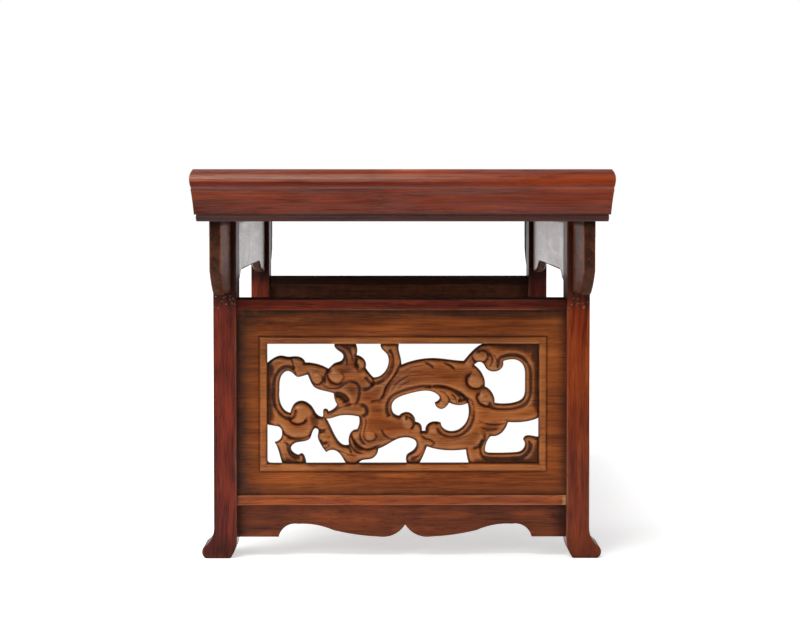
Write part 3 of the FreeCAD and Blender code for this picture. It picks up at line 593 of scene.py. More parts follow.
middle_gap, _, _ = nearest_on_edges(field_middle[None], edge_starts, edge_ends)
print("from the middle of the field to an outline:", middle_gap.round(2), "mm")

# %% [markdown]
# ## The carved boards: a sheet that is cut at the outlines
# A plain grid would leave a stair of little squares along every curve. So the grid's corners that lie close
# to an outline are moved onto it, and the triangles that still cross one are cut there. What is left of the
# grid is the face of the board, with clean edges to carry through its thickness.

# %% Lay out the grid
SPACING = 0.36
BEAD_WIDTH = 2.9
BEAD_STEPS = BEAD_WIDTH * np.array([0.0, 0.05, 0.13, 0.27, 0.5, 0.73, 0.87, 0.95, 1.0])
GROOVE_WIDTH = 0.8
MARGIN_LINES = 7
OUTSIDE_STEPS = np.concatenate([BEAD_STEPS, BEAD_WIDTH + GROOVE_WIDTH * np.array([0.25, 0.5, 0.75, 1.0])])


def grid_lines(axis):
    """Places of the grid's lines: even over the field, close on the bead and wide to the ends."""
    low, high = field_low[axis], field_high[axis]
    inner = np.linspace(low, high, round((high - low) / SPACING) + 1)[1:-1]
    before = np.linspace(face_low[axis], low - OUTSIDE_STEPS[-1], MARGIN_LINES)[:-1]
    after = np.linspace(face_high[axis], high + OUTSIDE_STEPS[-1], MARGIN_LINES)[:-1]
    return np.sort(np.concatenate([before, low - OUTSIDE_STEPS, inner, high + OUTSIDE_STEPS, after]))


def outside_field(points):
    """How far each point lies outside the carved field's rectangle; negative inside it."""
    return np.maximum(field_low - points, points - field_high).max(axis=1)


columns, rows = grid_lines(0), grid_lines(1)
grid = np.stack(np.meshgrid(columns, rows, indexing="ij"), axis=2).reshape(-1, 2)
outside = outside_field(grid)
gap = outside.copy()
beside = grid.copy()
inner = outside <= 0.0
gap[inner], beside[inner], _ = nearest_on_edges(grid[inner], edge_starts, edge_ends)
gap[inner] *= np.where(in_opening(grid[inner], edge_starts, edge_ends), -1, 1)
print("grid:", len(columns), "by", len(rows), "lines, in openings:", int((gap < 0).sum()))


# %% Cut the grid at the outlines
def grid_triangles(across, up):
    """Two triangles per square of the grid, anticlockwise from the front, with alternating diagonals."""
    number = np.arange(across * up).reshape(across, up)
    a, b, c, d = number[:-1, :-1], number[1:, :-1], number[1:, 1:], number[:-1, 1:]
    even = np.add.outer(np.arange(across - 1), np.arange(up - 1)) % 2 == 0
    first = np.where(even[..., None], np.stack([a, b, c], axis=2), np.stack([a, b, d], axis=2))
    second = np.where(even[..., None], np.stack([a, c, d], axis=2), np.stack([b, c, d], axis=2))
    return np.concatenate([first.reshape(-1, 3), second.reshape(-1, 3)])


def turned(triangles, first):
    """The triangles with the corner of this number, one for each of them, in front."""
    return triangles[np.arange(len(triangles))[:, None], (first[:, None] + np.arange(3)) % 3]


def cut_at_outlines(points, gaps, triangles):
    """Keeps the wood: triangles with no corner in an opening, and the cut parts of those that cross.

    A side from a corner with gap g to one with gap -h is cut at the share g / (g + h) of its length.
    """
    signs = np.sign(gaps)[triangles]
    wood_corners = (signs > 0).sum(axis=1)
    open_corners = (signs < 0).sum(axis=1)
    whole = triangles[(open_corners == 0) & (wood_corners > 0)]
    one = (wood_corners == 1) & (open_corners > 0)
    one = turned(triangles[one], (signs[one] > 0).argmax(axis=1))
    two = (wood_corners == 2) & (open_corners == 1)
    two = turned(triangles[two], (signs[two] < 0).argmax(axis=1))
    sides = np.concatenate([one[:, [0, 1]], one[:, [0, 2]], two[:, [2, 0]], two[:, [1, 0]]])
    kept, lost = sides.T
    crossing = gaps[lost] < 0
    codes, places = np.unique(kept[crossing] * len(points) + lost[crossing], return_inverse=True)
    start, end = codes // len(points), codes % len(points)
    share = (gaps[start] / (gaps[start] - gaps[end]))[:, None]
    meets = lost.copy()
    meets[crossing] = len(points) + places
    one_a, one_b, two_a, two_b = np.split(meets, np.cumsum([len(one), len(one), len(two)]))
    parts = [whole, np.column_stack([one[:, 0], one_a, one_b])]
    parts += [np.column_stack([two[:, 1], two[:, 2], two_a]), np.column_stack([two[:, 1], two_a, two_b])]
    return np.vstack([points, points[start] + share * (points[end] - points[start])]), np.concatenate(parts)


SNAP = 0.3 * SPACING
close = np.abs(gap) < SNAP
sheet = np.where(close[:, None], beside, grid)
gap[close] = 0.0
sheet, faces = cut_at_outlines(sheet, gap, grid_triangles(len(columns), len(rows)))
added = len(sheet) - len(grid)
gap = np.concatenate([gap, np.zeros(added)])
beside = np.vstack([beside, sheet[len(grid):]])
used, faces = np.unique(faces, return_inverse=True)
faces = faces.reshape(-1, 3)
sheet, gap, beside = sheet[used], gap[used], beside[used]
print("face of the board:", len(sheet), "corners,", len(faces), "triangles")

# %% [markdown]
# ## The carved boards: the carver's lines
# The lines are written where they lie on the carving, in millimetres from the lower left corner of its field.
# Each is a smooth curve through a few points, with the width and depth of its cut. Some lines part two
# forms that overlap: there the wood on one side also falls away, 1 for the left side of the line as it is
# drawn and -1 for the right one.

# %% Lines of the beast and the scrolls
LINES = {
    "scroll_crease": (0, 0.45, 0.35, [(10.1, 44.9), (11.0, 42.5), (11.4, 40.1), (12.6, 37.7)]),
    "nose_root": (0, 0.5, 0.6, [(26.1, 40.1), (24.9, 38.6), (24.2, 36.6), (24.5, 34.4)]),
    "nose_curl": (-1, 0.45, 0.5, [
        (17.7, 38.6), (18.7, 36.0), (20.1, 34.2), (21.9, 34.0), (23.2, 35.6), (23.0, 37.7),
    ]),
    "eye_ring": (-1, 0.45, 0.55, [
        (26.5, 40.1), (25.6, 38.3), (26.0, 36.4), (27.5, 34.7), (29.9, 34.0), (32.0, 35.3),
    ]),
    "eye_lid": (0, 0.35, 0.35, [(30.6, 39.0), (32.0, 37.9), (32.4, 36.6), (31.3, 35.7)]),
    "muzzle": (0, 0.5, 0.5, [
        (23.3, 33.7), (25.7, 32.4), (28.3, 32.1), (30.6, 32.5), (32.4, 34.0), (34.8, 35.2),
    ]),
    "jowl": (0, 0.6, 0.6, [
        (34.8, 35.2), (37.2, 34.6), (38.8, 32.7), (38.8, 30.0), (38.2, 27.0), (37.0, 25.1),
    ]),
    "upper_lip": (-1, 0.4, 0.4, [(27.8, 30.2), (30.5, 30.5), (33.0, 29.3), (34.9, 26.2)]),
    "mouth": (0, 1.4, 1.7, [(28.6, 29.3), (30.7, 28.8), (32.5, 27.6), (33.6, 26.0)]),
    "lower_lip": (0, 0.4, 0.4, [
        (25.7, 20.6), (27.4, 21.6), (29.6, 23.4), (31.9, 24.6), (34.8, 25.1), (36.3, 26.0),
    ]),
    "jaw_end": (0, 0.8, 0.8, [(39.3, 25.4), (41.6, 24.1), (41.8, 21.5), (39.7, 20.0)]),
    "brow_end": (0, 0.7, 0.7, [(40.5, 31.6), (43.0, 32.4), (44.6, 34.4)]),
    "crest_left": (0, 0.4, 0.3, [(28.9, 49.6), (30.8, 48.4), (32.5, 47.2), (33.5, 44.8), (33.7, 42.5)]),
    "crest_right": (0, 0.35, 0.25, [(33.7, 50.3), (34.8, 48.4), (35.7, 46.0), (36.0, 43.6)]),
    "ear": (-1, 0.45, 0.5, [(37.9, 44.9), (37.5, 43.0), (38.2, 41.0)]),
    "nape": (0, 0.6, 0.6, [(41.4, 40.1), (43.5, 37.5), (44.7, 35.3), (44.6, 32.6)]),
    "horn_left": (0, 0.35, 0.35, [
        (49.8, 47.2), (51.7, 45.4), (52.2, 42.5), (51.0, 39.2), (48.6, 36.2), (46.1, 34.7),
    ]),
    "horn_right": (1, 0.5, 0.6, [
        (55.7, 42.5), (53.9, 38.6), (51.7, 35.3), (49.8, 32.4), (48.8, 29.4), (47.4, 27.3),
    ]),
    "throat": (0, 0.45, 0.45, [(47.4, 27.3), (43.7, 26.7)]),
    "mane_upper": (0, 0.3, 0.25, [(60.2, 40.1), (56.8, 38.3), (53.8, 35.8), (51.4, 32.4), (50.0, 29.1)]),
    "mane_middle": (0, 0.3, 0.25, [(60.2, 38.0), (57.4, 36.5), (54.8, 34.2), (52.4, 31.1)]),
    "mane_lower": (0, 0.3, 0.25, [(60.2, 35.3), (57.4, 34.0), (55.0, 31.8)]),
    "neck": (0, 0.35, 0.4, [
        (39.7, 19.9), (39.9, 17.0), (39.3, 14.0), (39.1, 11.6), (40.1, 9.4), (42.1, 8.1),
    ]),
    "breast": (0, 0.35, 0.35, [
        (41.4, 19.6), (41.5, 17.0), (40.8, 14.0), (40.8, 11.6), (42.1, 9.7), (44.3, 9.7),
    ]),
    "breast_curl": (0, 0.35, 0.35, [(44.3, 9.7), (46.0, 11.2), (45.6, 13.3)]),
    "chest_sweep": (-1, 0.55, 0.6, [
        (35.4, 13.4), (36.3, 10.4), (38.2, 7.8), (41.0, 6.4), (44.3, 6.7), (46.8, 8.1),
    ]),
    "chest_lower": (0, 0.4, 0.35, [(34.6, 9.9), (35.4, 7.5), (37.7, 5.2), (41.0, 4.2)]),
    "belly_leaf": (0, 0.45, 0.45, [(48.0, 14.9), (49.3, 12.5), (51.4, 10.9), (53.8, 10.6)]),
    "ball_crescent": (-1, 0.5, 0.6, [(9.1, 20.4), (10.2, 18.2), (12.8, 17.0), (15.4, 17.7), (16.6, 19.6)]),
    "ball_side": (0, 0.35, 0.3, [(10.1, 19.9), (9.8, 22.3), (11.3, 24.8), (14.1, 26.0)]),
    "cup": (-1, 0.6, 0.55, [
        (5.2, 16.7), (7.1, 13.4), (10.2, 11.3), (14.1, 11.0), (17.7, 12.2), (19.0, 14.6),
    ]),
    "foot_outer": (0, 0.35, 0.35, [(6.4, 10.3), (8.3, 8.4), (8.8, 5.7), (10.1, 3.3), (12.4, 1.8)]),
    "foot_inner": (0, 0.35, 0.35, [(7.8, 9.9), (9.5, 7.5), (10.0, 5.1), (11.6, 3.1), (14.1, 2.1)]),
    "knuckle_high": (0, 0.8, 0.9, [(21.7, 14.9), (22.9, 13.8), (24.5, 14.6)]),
    "knuckle_middle": (0, 0.8, 0.9, [(22.2, 10.4), (23.5, 8.8), (25.6, 9.3)]),
    "knuckle_low": (0, 0.45, 0.45, [(23.6, 6.5), (25.1, 7.0), (26.3, 8.2)]),
    "arm": (0, 0.35, 0.3, [(28.9, 6.0), (31.9, 5.1), (34.8, 3.9), (37.8, 3.3)]),
    "arm_root": (0, 0.45, 0.45, [(33.5, 7.5), (34.8, 6.4), (35.6, 4.5)]),
    "hair_front": (0, 0.5, 0.55, [(66.4, 43.2), (68.2, 42.3), (70.2, 40.7)]),
    "hair_middle": (0, 0.5, 0.55, [(74.4, 43.0), (76.8, 41.8), (79.1, 40.1)]),
    "hair_short": (0, 0.35, 0.3, [(76.2, 42.4), (78.1, 41.0)]),
    "back_upper": (0, 0.3, 0.22, [(55.5, 38.6), (60.4, 41.0), (66.0, 42.0)]),
    "back_middle": (0, 0.3, 0.22, [(52.4, 32.7), (56.1, 36.7), (61.1, 39.1), (66.6, 39.3)]),
    "back_lower": (0, 0.3, 0.22, [(53.6, 33.6), (58.6, 37.0), (65.4, 38.0), (72.2, 37.8)]),
    "haunch_upper": (-1, 0.5, 0.6, [
        (85.7, 38.6), (84.1, 36.6), (84.2, 34.1), (86.0, 32.3), (88.9, 32.1), (91.0, 33.6),
    ]),
    "haunch_lower": (-1, 0.5, 0.55, [(89.6, 30.5), (88.3, 28.5), (89.2, 26.2), (91.7, 24.7), (94.5, 24.8)]),
    "tail_curl": (-1, 0.4, 0.45, [(86.2, 46.0), (87.2, 43.9), (89.3, 42.9), (91.5, 43.7), (92.7, 45.6)]),
    "tail_curl_end": (-1, 0.4, 0.45, [(92.7, 45.6), (91.9, 47.5), (89.9, 47.9), (88.3, 46.9)]),
    "tail_fold": (0, 0.45, 0.5, [(92.9, 47.2), (94.5, 45.3), (94.4, 42.8), (92.9, 41.0)]),
    "tail_hook": (0, 0.35, 0.3, [(95.1, 46.6), (96.5, 44.1), (96.1, 41.7)]),
    "tail_upper": (0, 0.35, 0.3, [(88.9, 18.4), (92.7, 17.0), (97.0, 16.8), (100.7, 17.4)]),
    "tail_lower": (0, 0.35, 0.3, [(89.6, 15.6), (93.3, 14.5), (97.0, 14.7)]),
    "thigh": (0, 0.8, 0.8, [(91.4, 12.5), (91.2, 10.1), (89.2, 7.6), (86.2, 6.2)]),
    "hind_leg": (0, 0.4, 0.35, [(66.4, 7.5), (65.0, 4.9), (62.8, 2.9), (60.4, 2.0)]),
    "paw": (1, 0.45, 0.5, [(59.1, 19.9), (60.8, 18.6), (61.4, 16.6), (60.2, 14.7)]),
    "wrist": (0, 0.4, 0.4, [(63.3, 16.8), (64.5, 14.9), (64.9, 13.2)]),
    "belly_knob": (1, 0.4, 0.45, [(67.7, 13.7), (68.0, 16.0), (69.7, 17.2), (71.7, 16.4)]),
    "belly": (0, 0.35, 0.25, [(72.2, 11.3), (76.5, 10.1), (80.9, 10.7), (85.2, 12.5)]),
    "knee": (0, 0.6, 0.65, [(64.6, 12.2), (66.4, 10.9), (68.6, 10.2), (70.1, 9.0), (69.0, 7.6)]),
    "ring_arc": (-1, 0.7, 0.8, [
        (67.0, 32.6), (71.5, 33.1), (75.2, 32.6), (79.1, 31.1), (83.2, 28.4), (85.2, 24.8), (85.9, 20.6),
    ]),
    "leaf_stem": (0, 0.4, 0.45, [(72.2, 31.4), (74.6, 30.2), (76.2, 28.2), (76.8, 26.4)]),
    "leaf_left": (0, 0.3, 0.35, [(77.4, 29.9), (79.1, 28.0), (79.9, 25.6)]),
    "leaf_right": (0, 0.3, 0.35, [(79.3, 30.1), (81.2, 28.0), (82.1, 26.0)]),
}
print("lines:", len(LINES))

# %% [markdown]
# ## The carved boards: bosses and borders
# Bosses are the round forms left high, such as the eye and the volutes, each a low dome on an oval: its
# middle, its half sides and its rise. Scrolls and leaves behind the beast were cut lower, and shade is
# painted
# on them: they are ovals too, the other way round, and a fifth number makes one deeper and darker than the
# rest. A border is a line that follows an opening at a steady distance, as along the ring of the body. It is
# cut only beside the stretch of outline that lies in its rectangle.

# %% Bosses and borders
BOSSES = {
    "eye": (29.2, 37.6, 3.2, 2.9, 0.55),
    "nose": (21.0, 36.6, 2.1, 2.3, 0.35),
    "ear": (39.9, 42.7, 2.0, 2.2, 0.4),
    "ball": (14.4, 21.6, 4.2, 4.2, 0.6),
    "haunch_upper": (87.6, 35.2, 3.1, 3.0, 0.5),
    "haunch_lower": (91.9, 27.7, 2.9, 2.8, 0.5),
    "tail_curl": (89.7, 45.4, 2.6, 2.3, 0.4),
    "paw": (58.9, 17.2, 2.5, 2.5, 0.4),
    "belly_knob": (70.0, 15.0, 2.3, 2.3, 0.4),
    "breast": (43.4, 12.1, 2.4, 2.4, 0.35),
    "claw_high": (23.0, 16.4, 1.7, 1.9, 0.35),
    "claw_middle": (23.9, 11.6, 1.8, 2.0, 0.35),
}
SUNKEN = {
    "scroll_side": (1.0, 29.0, 3.4, 17.0),
    "scroll_arch": (8.5, 42.6, 12.0, 8.0, 1.2),
    "crest": (33.2, 46.5, 8.0, 8.5, 1.4),
    "ear": (40.0, 42.4, 3.6, 4.2, 1.2),
    "foot": (9.5, 4.8, 12.0, 9.0, 1.3),
    "beside_ball": (20.2, 18.4, 2.4, 4.5),
    "chest": (37.2, 8.8, 4.4, 5.8),
    "tail_corner": (109.0, 48.5, 13.0, 6.0),
    "tail_side": (114.0, 36.0, 4.5, 15.0),
    "low_corner": (110.0, 4.0, 8.5, 8.0),
    "low_strip": (98.0, 1.0, 12.0, 3.4),
    "tail_leaf": (96.0, 14.6, 7.0, 4.4),
    "ring_leaf": (80.0, 28.0, 5.0, 4.0),
    "paw_leg": (61.5, 3.5, 4.5, 5.5),
}
BORDERS = {
    "scroll": ((2.0, 10.5), (19.5, 41.0)),
    "ring_upper": ((51.5, 68.6), (21.5, 31.6)),
    "ring_right": ((80.0, 86.0), (13.0, 26.2)),
    "ring_lower": ((72.0, 86.0), (12.0, 16.0)),
    "tail": ((97.5, 110.0), (24.0, 45.5)),
    "tail_lower": ((94.0, 110.0), (24.0, 26.0)),
    "corner": ((90.5, 112.0), (2.5, 9.5)),
    "horn": ((43.0, 52.0), (35.0, 47.0)),
}
DRAWN_SIZE = np.array([114.3, 51.0])
print("bosses:", len(BOSSES), "sunken forms:", len(SUNKEN), "borders:", len(BORDERS))


# %% Curves, bells and domes
def drawn(points):
    """Places on the field at its drawn size: millimetres from its lower left corner."""
    return (points - field_low) * (DRAWN_SIZE / (field_high - field_low))


def bell(distance, reach):
    """1 at a distance of 0, falling as exp(-(distance / reach) squared)."""
    return np.exp(-((distance / reach) ** 2))


def smooth_line(points, pieces=10):
    """A cubic curve through the points, which leaves each one along the line between its two neighbours."""
    spots = np.array(points)
    spots = np.vstack([2 * spots[0] - spots[1], spots, 2 * spots[-1] - spots[-2]])
    share = np.linspace(0, 1, pieces, endpoint=False)[:, None, None]
    before, start, end, after = spots[:-3], spots[1:-2], spots[2:-1], spots[3:]
    bend = 2 * before - 5 * start + 4 * end - after
    twist = 3 * start - before - 3 * end + after
    curve = start + 0.5 * ((end - before) * share + bend * share**2 + twist * share**3)
    return np.vstack([curve.transpose(1, 0, 2).reshape(-1, 2), spots[-2]])


def ovals(places, forms):
    """The sum of domes 1 - r squared, each times its rise or 1; r is the distance from an oval's middle,
    in its half sides."""
    total = np.zeros(len(places))
    for middle_u, middle_v, half_u, half_v, *rise in forms.values():
        radius = (((places - (middle_u, middle_v)) / (half_u, half_v)) ** 2).sum(axis=1)
        total += np.clip(1 - radius, 0, 1) * (rise or [1.0])[0]
    return total


print("drawn size of the field:", DRAWN_SIZE, "real size:", (field_high - field_low).round(2))

# %% Work out the relief
STEP_DOWN = 0.5
STEP_REACH = 1.7
BELL_REACHES = 3
END_SLOPE = 6
END_DEPTH = 0.35


def line_depth(places, side, width, depth, points):
    """Depth that a line takes away: depth times a bell of the distance over its width, shallower at its ends,
    and beside a parting line a step down that fades over its reach on one side."""
    path = smooth_line(points)
    reach = BELL_REACHES * max(width, STEP_REACH * abs(side))
    near = ((places > path.min(axis=0) - reach) & (places < path.max(axis=0) + reach)).all(axis=1)
    distance, meets, number = nearest_on_edges(places[near], path[:-1], path[1:])
    share = number / (len(path) - 2)
    fade = np.clip(np.minimum(share, 1 - share) * END_SLOPE + END_DEPTH, 0, 1)
    taken = depth * fade * bell(distance, width)
    run = path[number + 1] - path[number]
    offset = places[near] - meets
    lower_side = (run[:, 0] * offset[:, 1] - run[:, 1] * offset[:, 0]) * side > 0
    taken += lower_side * STEP_DOWN * fade * bell(distance, STEP_REACH)
    whole = np.zeros(len(places))
    whole[near] = taken
    return whole


ROUND_WIDTH = 2.3
ROUND_DROP = 1.6
BORDER_OFFSET = 2.0
BORDER_WIDTH = 0.8
BORDER_DEPTH = 0.8
SUNKEN_DEPTH = 0.6
BEAD_PROUD = 0.5
GROOVE_DEPTH = 0.3
SEAM_DEPTH = 0.7
SEAM_WIDTH = 0.5


def field_height(points, gaps, nearest):
    """Height of the carved field: a quarter round from each opening, plus bosses, less what is cut."""
    places, shore = drawn(points), drawn(nearest)
    lean = 1 - np.clip(gaps / ROUND_WIDTH, 0, 1)
    height = -ROUND_DROP * (1 - np.sqrt(1 - lean**2))
    height += ovals(places, BOSSES) - SUNKEN_DEPTH * ovals(places, SUNKEN)
    for line in LINES.values():
        height -= line_depth(places, *line)
    border = BORDER_DEPTH * bell(gaps - BORDER_OFFSET, BORDER_WIDTH)
    beside_border = np.zeros(len(points), dtype=bool)
    for (left, right), (bottom, top) in BORDERS.values():
        beside_border |= ((shore > (left, bottom)) & (shore < (right, top))).all(axis=1)
    return height - border * beside_border


def bead_height(beyond):
    """Height outside the field: a rounded bead, then a small groove, then the flat of the board."""
    bead = BEAD_PROUD * np.sqrt(np.clip(1 - (2 * beyond / BEAD_WIDTH - 1) ** 4, 0, 1))
    groove = np.clip((beyond - BEAD_WIDTH) / GROOVE_WIDTH, 0, 1)
    return np.where(beyond < BEAD_WIDTH, bead, -GROOVE_DEPTH * np.sin(np.pi * groove))


outside = outside_field(sheet)
carved = outside < 0
height = bead_height(outside)
height[carved] = field_height(sheet[carved], gap[carved], beside[carved])
height[carved] -= SEAM_DEPTH * bell(outside[carved], SEAM_WIDTH)
print("relief:", height.min().round(2), "to", height.max().round(2), "mm")


# %% [markdown]
# ## The carved boards: wax and painted shade in the hollows
# Old wax and painted shade darken every hollow, and the ridges are painted paler. A point lies in a hollow
# where the mean of the face round it is higher than the point itself. The mean comes from letting each corner
# share its height with its neighbours a few times. The dark also gathers along the sawn edges.

# %% Find hollows and ridges
def triangle_sides(triangles):
    """The three sides of every triangle, in the direction in which it goes round them."""
    return np.concatenate([triangles[:, [0, 1]], triangles[:, [1, 2]], triangles[:, [2, 0]]])


def neighbours_mean(values, triangles, rounds):
    """The values after each corner has taken, so many times, the mean of itself and its neighbours."""
    sides = triangle_sides(triangles)
    start, end = np.concatenate([sides, sides[:, ::-1]]).T
    count = np.bincount(start, minlength=len(values)) + 1
    for _ in range(rounds):
        values = (values + np.bincount(start, values[end], len(values))) / count
    return values


NEAR_ROUNDS = 12
WIDE_ROUNDS = 59
WORKED = BEAD_WIDTH + GROOVE_WIDTH * 0.9
worked = outside < WORKED
# Both measures of hollows darken the wood: wax, and painted shade in the recesses.
near_sunk = (neighbours_mean(height, faces, NEAR_ROUNDS) - height) * worked
wide_sunk = (neighbours_mean(height, faces, WIDE_ROUNDS) - height) * carved
print("deepest hollows:", near_sunk.max().round(2), "and", wide_sunk.max().round(2), "mm")

# %% Spread the wax and painted shade
# Reach in millimetres: from an opening, from the field's frame, from the rails and legs, and over the plain
# borders of the board at the top and the left. Next to the rails and legs, and on those two borders, the dark
# is painted shade and shadow.
EDGE_REACH = 0.7
FRAME_REACH = 3.0
CORNER_REACH = 2.8
ABOVE_REACH = 12.0
LEFT_REACH = 9.0
HOUSED = np.array([3.0, 1.4])
# Share of each in the wax and painted shade, and of the hollows in the ridges.
NEAR_WAX_AND_SHADE = 2.1
WIDE_WAX_AND_SHADE = 1.8
EDGE_DARK = 0.35
FRAME_DARK = 0.4
CORNER_SHADE = 0.7
ABOVE_SHADOW = 0.25
LEFT_SHADOW = 0.5
SUNKEN_SHADE = 0.52
MOST_WAX_AND_SHADE = 0.94
NEAR_RIDGE = 2.0
WIDE_RIDGE = 0.9
RIDGE_START = 0.06
MOST_RIDGE = 0.6
edge_darkening = bell(np.maximum(gap, 0), EDGE_REACH) * carved
frame_darkening = bell(outside, FRAME_REACH) * carved
corner_gap = np.minimum(sheet - face_low - HOUSED, face_high - HOUSED - sheet).min(axis=1)
# Painted shade next to the rails and legs, and painted shadow on the top and left borders.
corner_shading = bell(np.maximum(corner_gap, 0), CORNER_REACH)
shadow_above = np.clip((sheet[:, 1] - field_high[1]) / ABOVE_REACH, 0, 1)
shadow_left = np.clip((field_low[0] - sheet[:, 0]) / LEFT_REACH, 0, 1)
# Painted shade on the sunken forms.
sunken_shading = ovals(drawn(sheet), SUNKEN) * carved
wax_and_shade_sum = near_sunk * NEAR_WAX_AND_SHADE + wide_sunk * WIDE_WAX_AND_SHADE + edge_darkening * EDGE_DARK + frame_darkening * FRAME_DARK
wax_and_shade_sum += corner_shading * CORNER_SHADE + shadow_above * ABOVE_SHADOW + shadow_left * LEFT_SHADOW + sunken_shading * SUNKEN_SHADE
hollow = np.clip(wax_and_shade_sum, 0, MOST_WAX_AND_SHADE)
# Ridges are painted paler: wood rubbed by hands, and partly a painted highlight.
proud = -near_sunk * NEAR_RIDGE - wide_sunk * WIDE_RIDGE
crest = np.clip(proud - RIDGE_START, 0, MOST_RIDGE) * (1 - edge_darkening)
print("hollow:", hollow.mean().round(3), "ridge:", crest.mean().round(3))


# %% Make the carved boards
# Painted shade on the inner back of a carved board: behind the carving, and more on its plain border.
BACK_SHADE = 0.35
BACK_BORDER_SHADE = 0.8
SHARP_ANGLE = math.radians(50)


def put_in_scene(name, data):
    """A new object with this mesh, lamp or camera."""
    thing = bpy.data.objects.new(name, data)
    bpy.context.scene.collection.objects.link(thing)
    return thing


def boundary(triangles):
    """The sides that belong to one triangle alone."""
    sides = triangle_sides(triangles)
    total = triangles.max() + 1
    codes = sides[:, 0] * total + sides[:, 1]
    return sides[~np.isin(codes, sides[:, 1] * total + sides[:, 0])]


def carved_board(name, turn):
    """A closed board: the carved face, its copy on the flat back, and a wall along every side of the outline.

    The turn is 1 at the front end and -1 at the back one, which is the same board turned half round.
    """
    count = len(sheet)
    face = np.column_stack([sheet[:, 0], board_low[1] + BEAD_PROUD - height, sheet[:, 1]])
    back = np.column_stack([sheet[:, 0], np.full(count, BOARD_BACK), sheet[:, 1]])
    corners = np.vstack([face, back]) * (turn, turn, 1) * MM
    start, end = boundary(faces).T
    walls = np.column_stack([end, start, start + count, end, start + count, end + count]).reshape(-1, 3)
    mesh = bpy.data.meshes.new(name)
    mesh.from_pydata(corners.tolist(), [], np.vstack([faces, faces[:, ::-1] + count, walls]).tolist())
    mesh.polygons.foreach_set("use_smooth", np.ones(len(mesh.polygons), dtype=bool))
    back_hollow = np.where(carved, BACK_SHADE, BACK_BORDER_SHADE)
    for label, values, behind in (("hollow", hollow, back_hollow), ("crest", crest, np.zeros(count))):
        layer = mesh.attributes.new(label, "FLOAT", "POINT")
        layer.data.foreach_set("value", np.concatenate([values, behind]).astype(np.float32))
    mesh.set_sharp_from_angle(angle=SHARP_ANGLE)
    return put_in_scene(name, mesh)


CARVED = {"stretch": 1.6, "shine": 0.12, "hollows": True}
for number, (end, turn) in enumerate((("front", 1), ("back", -1)), len(BOARDS) + 1):
    node = f"end_panel_{end}"
    board = carved_board(f"carved_{node}", turn)
    board.data.materials.append(wood(f"carved_{node}_wood", "x", number, GOLDEN, **CARVED))
    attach(board, "root")
    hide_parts(node)
    print(board.name, "triangles:", len(board.data.polygons))

# %% [markdown]
# ## The studio
# The table stands on a white sweep, which the photograph shows as plain white with a soft grey shadow.
# The floor takes that shadow by the light that reaches it, and adds light of its own for the camera, more of
# it away from the table, so that it is white where nothing shades it and the lamps can stay at a level that
# suits the wood.

# %% Floor
WHITE = (1.0, 1.0, 1.0, 1.0)
PAPER = (0.8, 0.8, 0.8, 1.0)
# White of the floor's own: its least, and what is added away from the table and behind its front end, with
# the distances in metres between which that comes in.
GLOW = 0.56
GLOW_AWAY = 0.45
AWAY_RAMP = (0.2, 0.7)
GLOW_BEHIND = 0.07
BEHIND_RAMP = (-0.09, -0.01)
FLOOR_FRONT = -0.46
FLOOR_BACK = 6.0


def flat_sheet(name, middle, half_across, half_up):
    """A rectangle: its corners are the middle plus and minus two half sides, given as vectors."""
    across, up = np.array(half_across), np.array(half_up)
    corners = np.array(middle) + [-across - up, across - up, across + up, up - across]
    mesh = bpy.data.meshes.new(name)
    mesh.from_pydata(corners.tolist(), [], [(0, 1, 2, 3)])
    sheet = put_in_scene(name, mesh)
    return sheet


def sweep_finish():
    """White paper: diffuse light, and for the camera and reflections a share of its own white."""
    finish = Finish(bpy.data.materials.new("white_sweep"))
    seen = finish.rays("Camera", "Glossy", "Transmission")
    place = finish.add("TexCoord", output="Object")
    away = finish.add("VectorMath", {"operation": "LENGTH"}, {0: place}, output="Value")
    _, depth, _ = finish.parts(place)
    glow = GLOW + away.rise(*AWAY_RAMP) * GLOW_AWAY + depth.rise(*BEHIND_RAMP) * GLOW_BEHIND
    paper = finish.add("BsdfDiffuse", None, {"Color": PAPER})
    light = finish.add("Emission", None, {"Color": WHITE, "Strength": seen * glow})
    return finish.end(finish.add("AddShader", None, {0: paper, 1: light}))


floor_middle = (0, (FLOOR_FRONT + FLOOR_BACK) / 2, 0)
floor = flat_sheet("floor", floor_middle, (FLOOR_BACK, 0, 0), (0, (FLOOR_BACK - FLOOR_FRONT) / 2, 0))
floor.data.materials.append(sweep_finish())
print("floor: from", FLOOR_FRONT, "to", FLOOR_BACK, "m")

# %% [markdown]
# ## A card behind the fretwork
# In the photograph the openings of the carving are plain white, as if a sheet of paper stood right behind
# them: the far end of the table doesn't show through. A card does that here. It is part of the studio, not of
# the table. It is white for the camera on its front alone, and nothing at all for light, shadows and from
# behind.

# %% White card
def card_finish():
    """White for camera rays that meet the front of the card, and clear for all others."""
    finish = Finish(bpy.data.materials.new("white_card"))
    behind = finish.add("NewGeometry", output="Backfacing")
    shown = finish.rays("Camera") * (1 - behind)
    clear = finish.add("BsdfTransparent")
    light = finish.add("Emission", None, {"Color": WHITE, "Strength": 1.0})
    return finish.end(finish.add("MixShader", None, {0: shown, 1: clear, 2: light}))


CARD_GAP = 0.4
card_place = np.array([field_middle[0], BOARD_BACK + CARD_GAP, field_middle[1]]) * MM
card_half = (field_high - field_low) * MM / 2
card = flat_sheet("white_card", card_place, (card_half[0], 0, 0), (0, 0, card_half[1]))
card.data.materials.append(card_finish())
print("card:", (card_half * 2).round(4), "m")

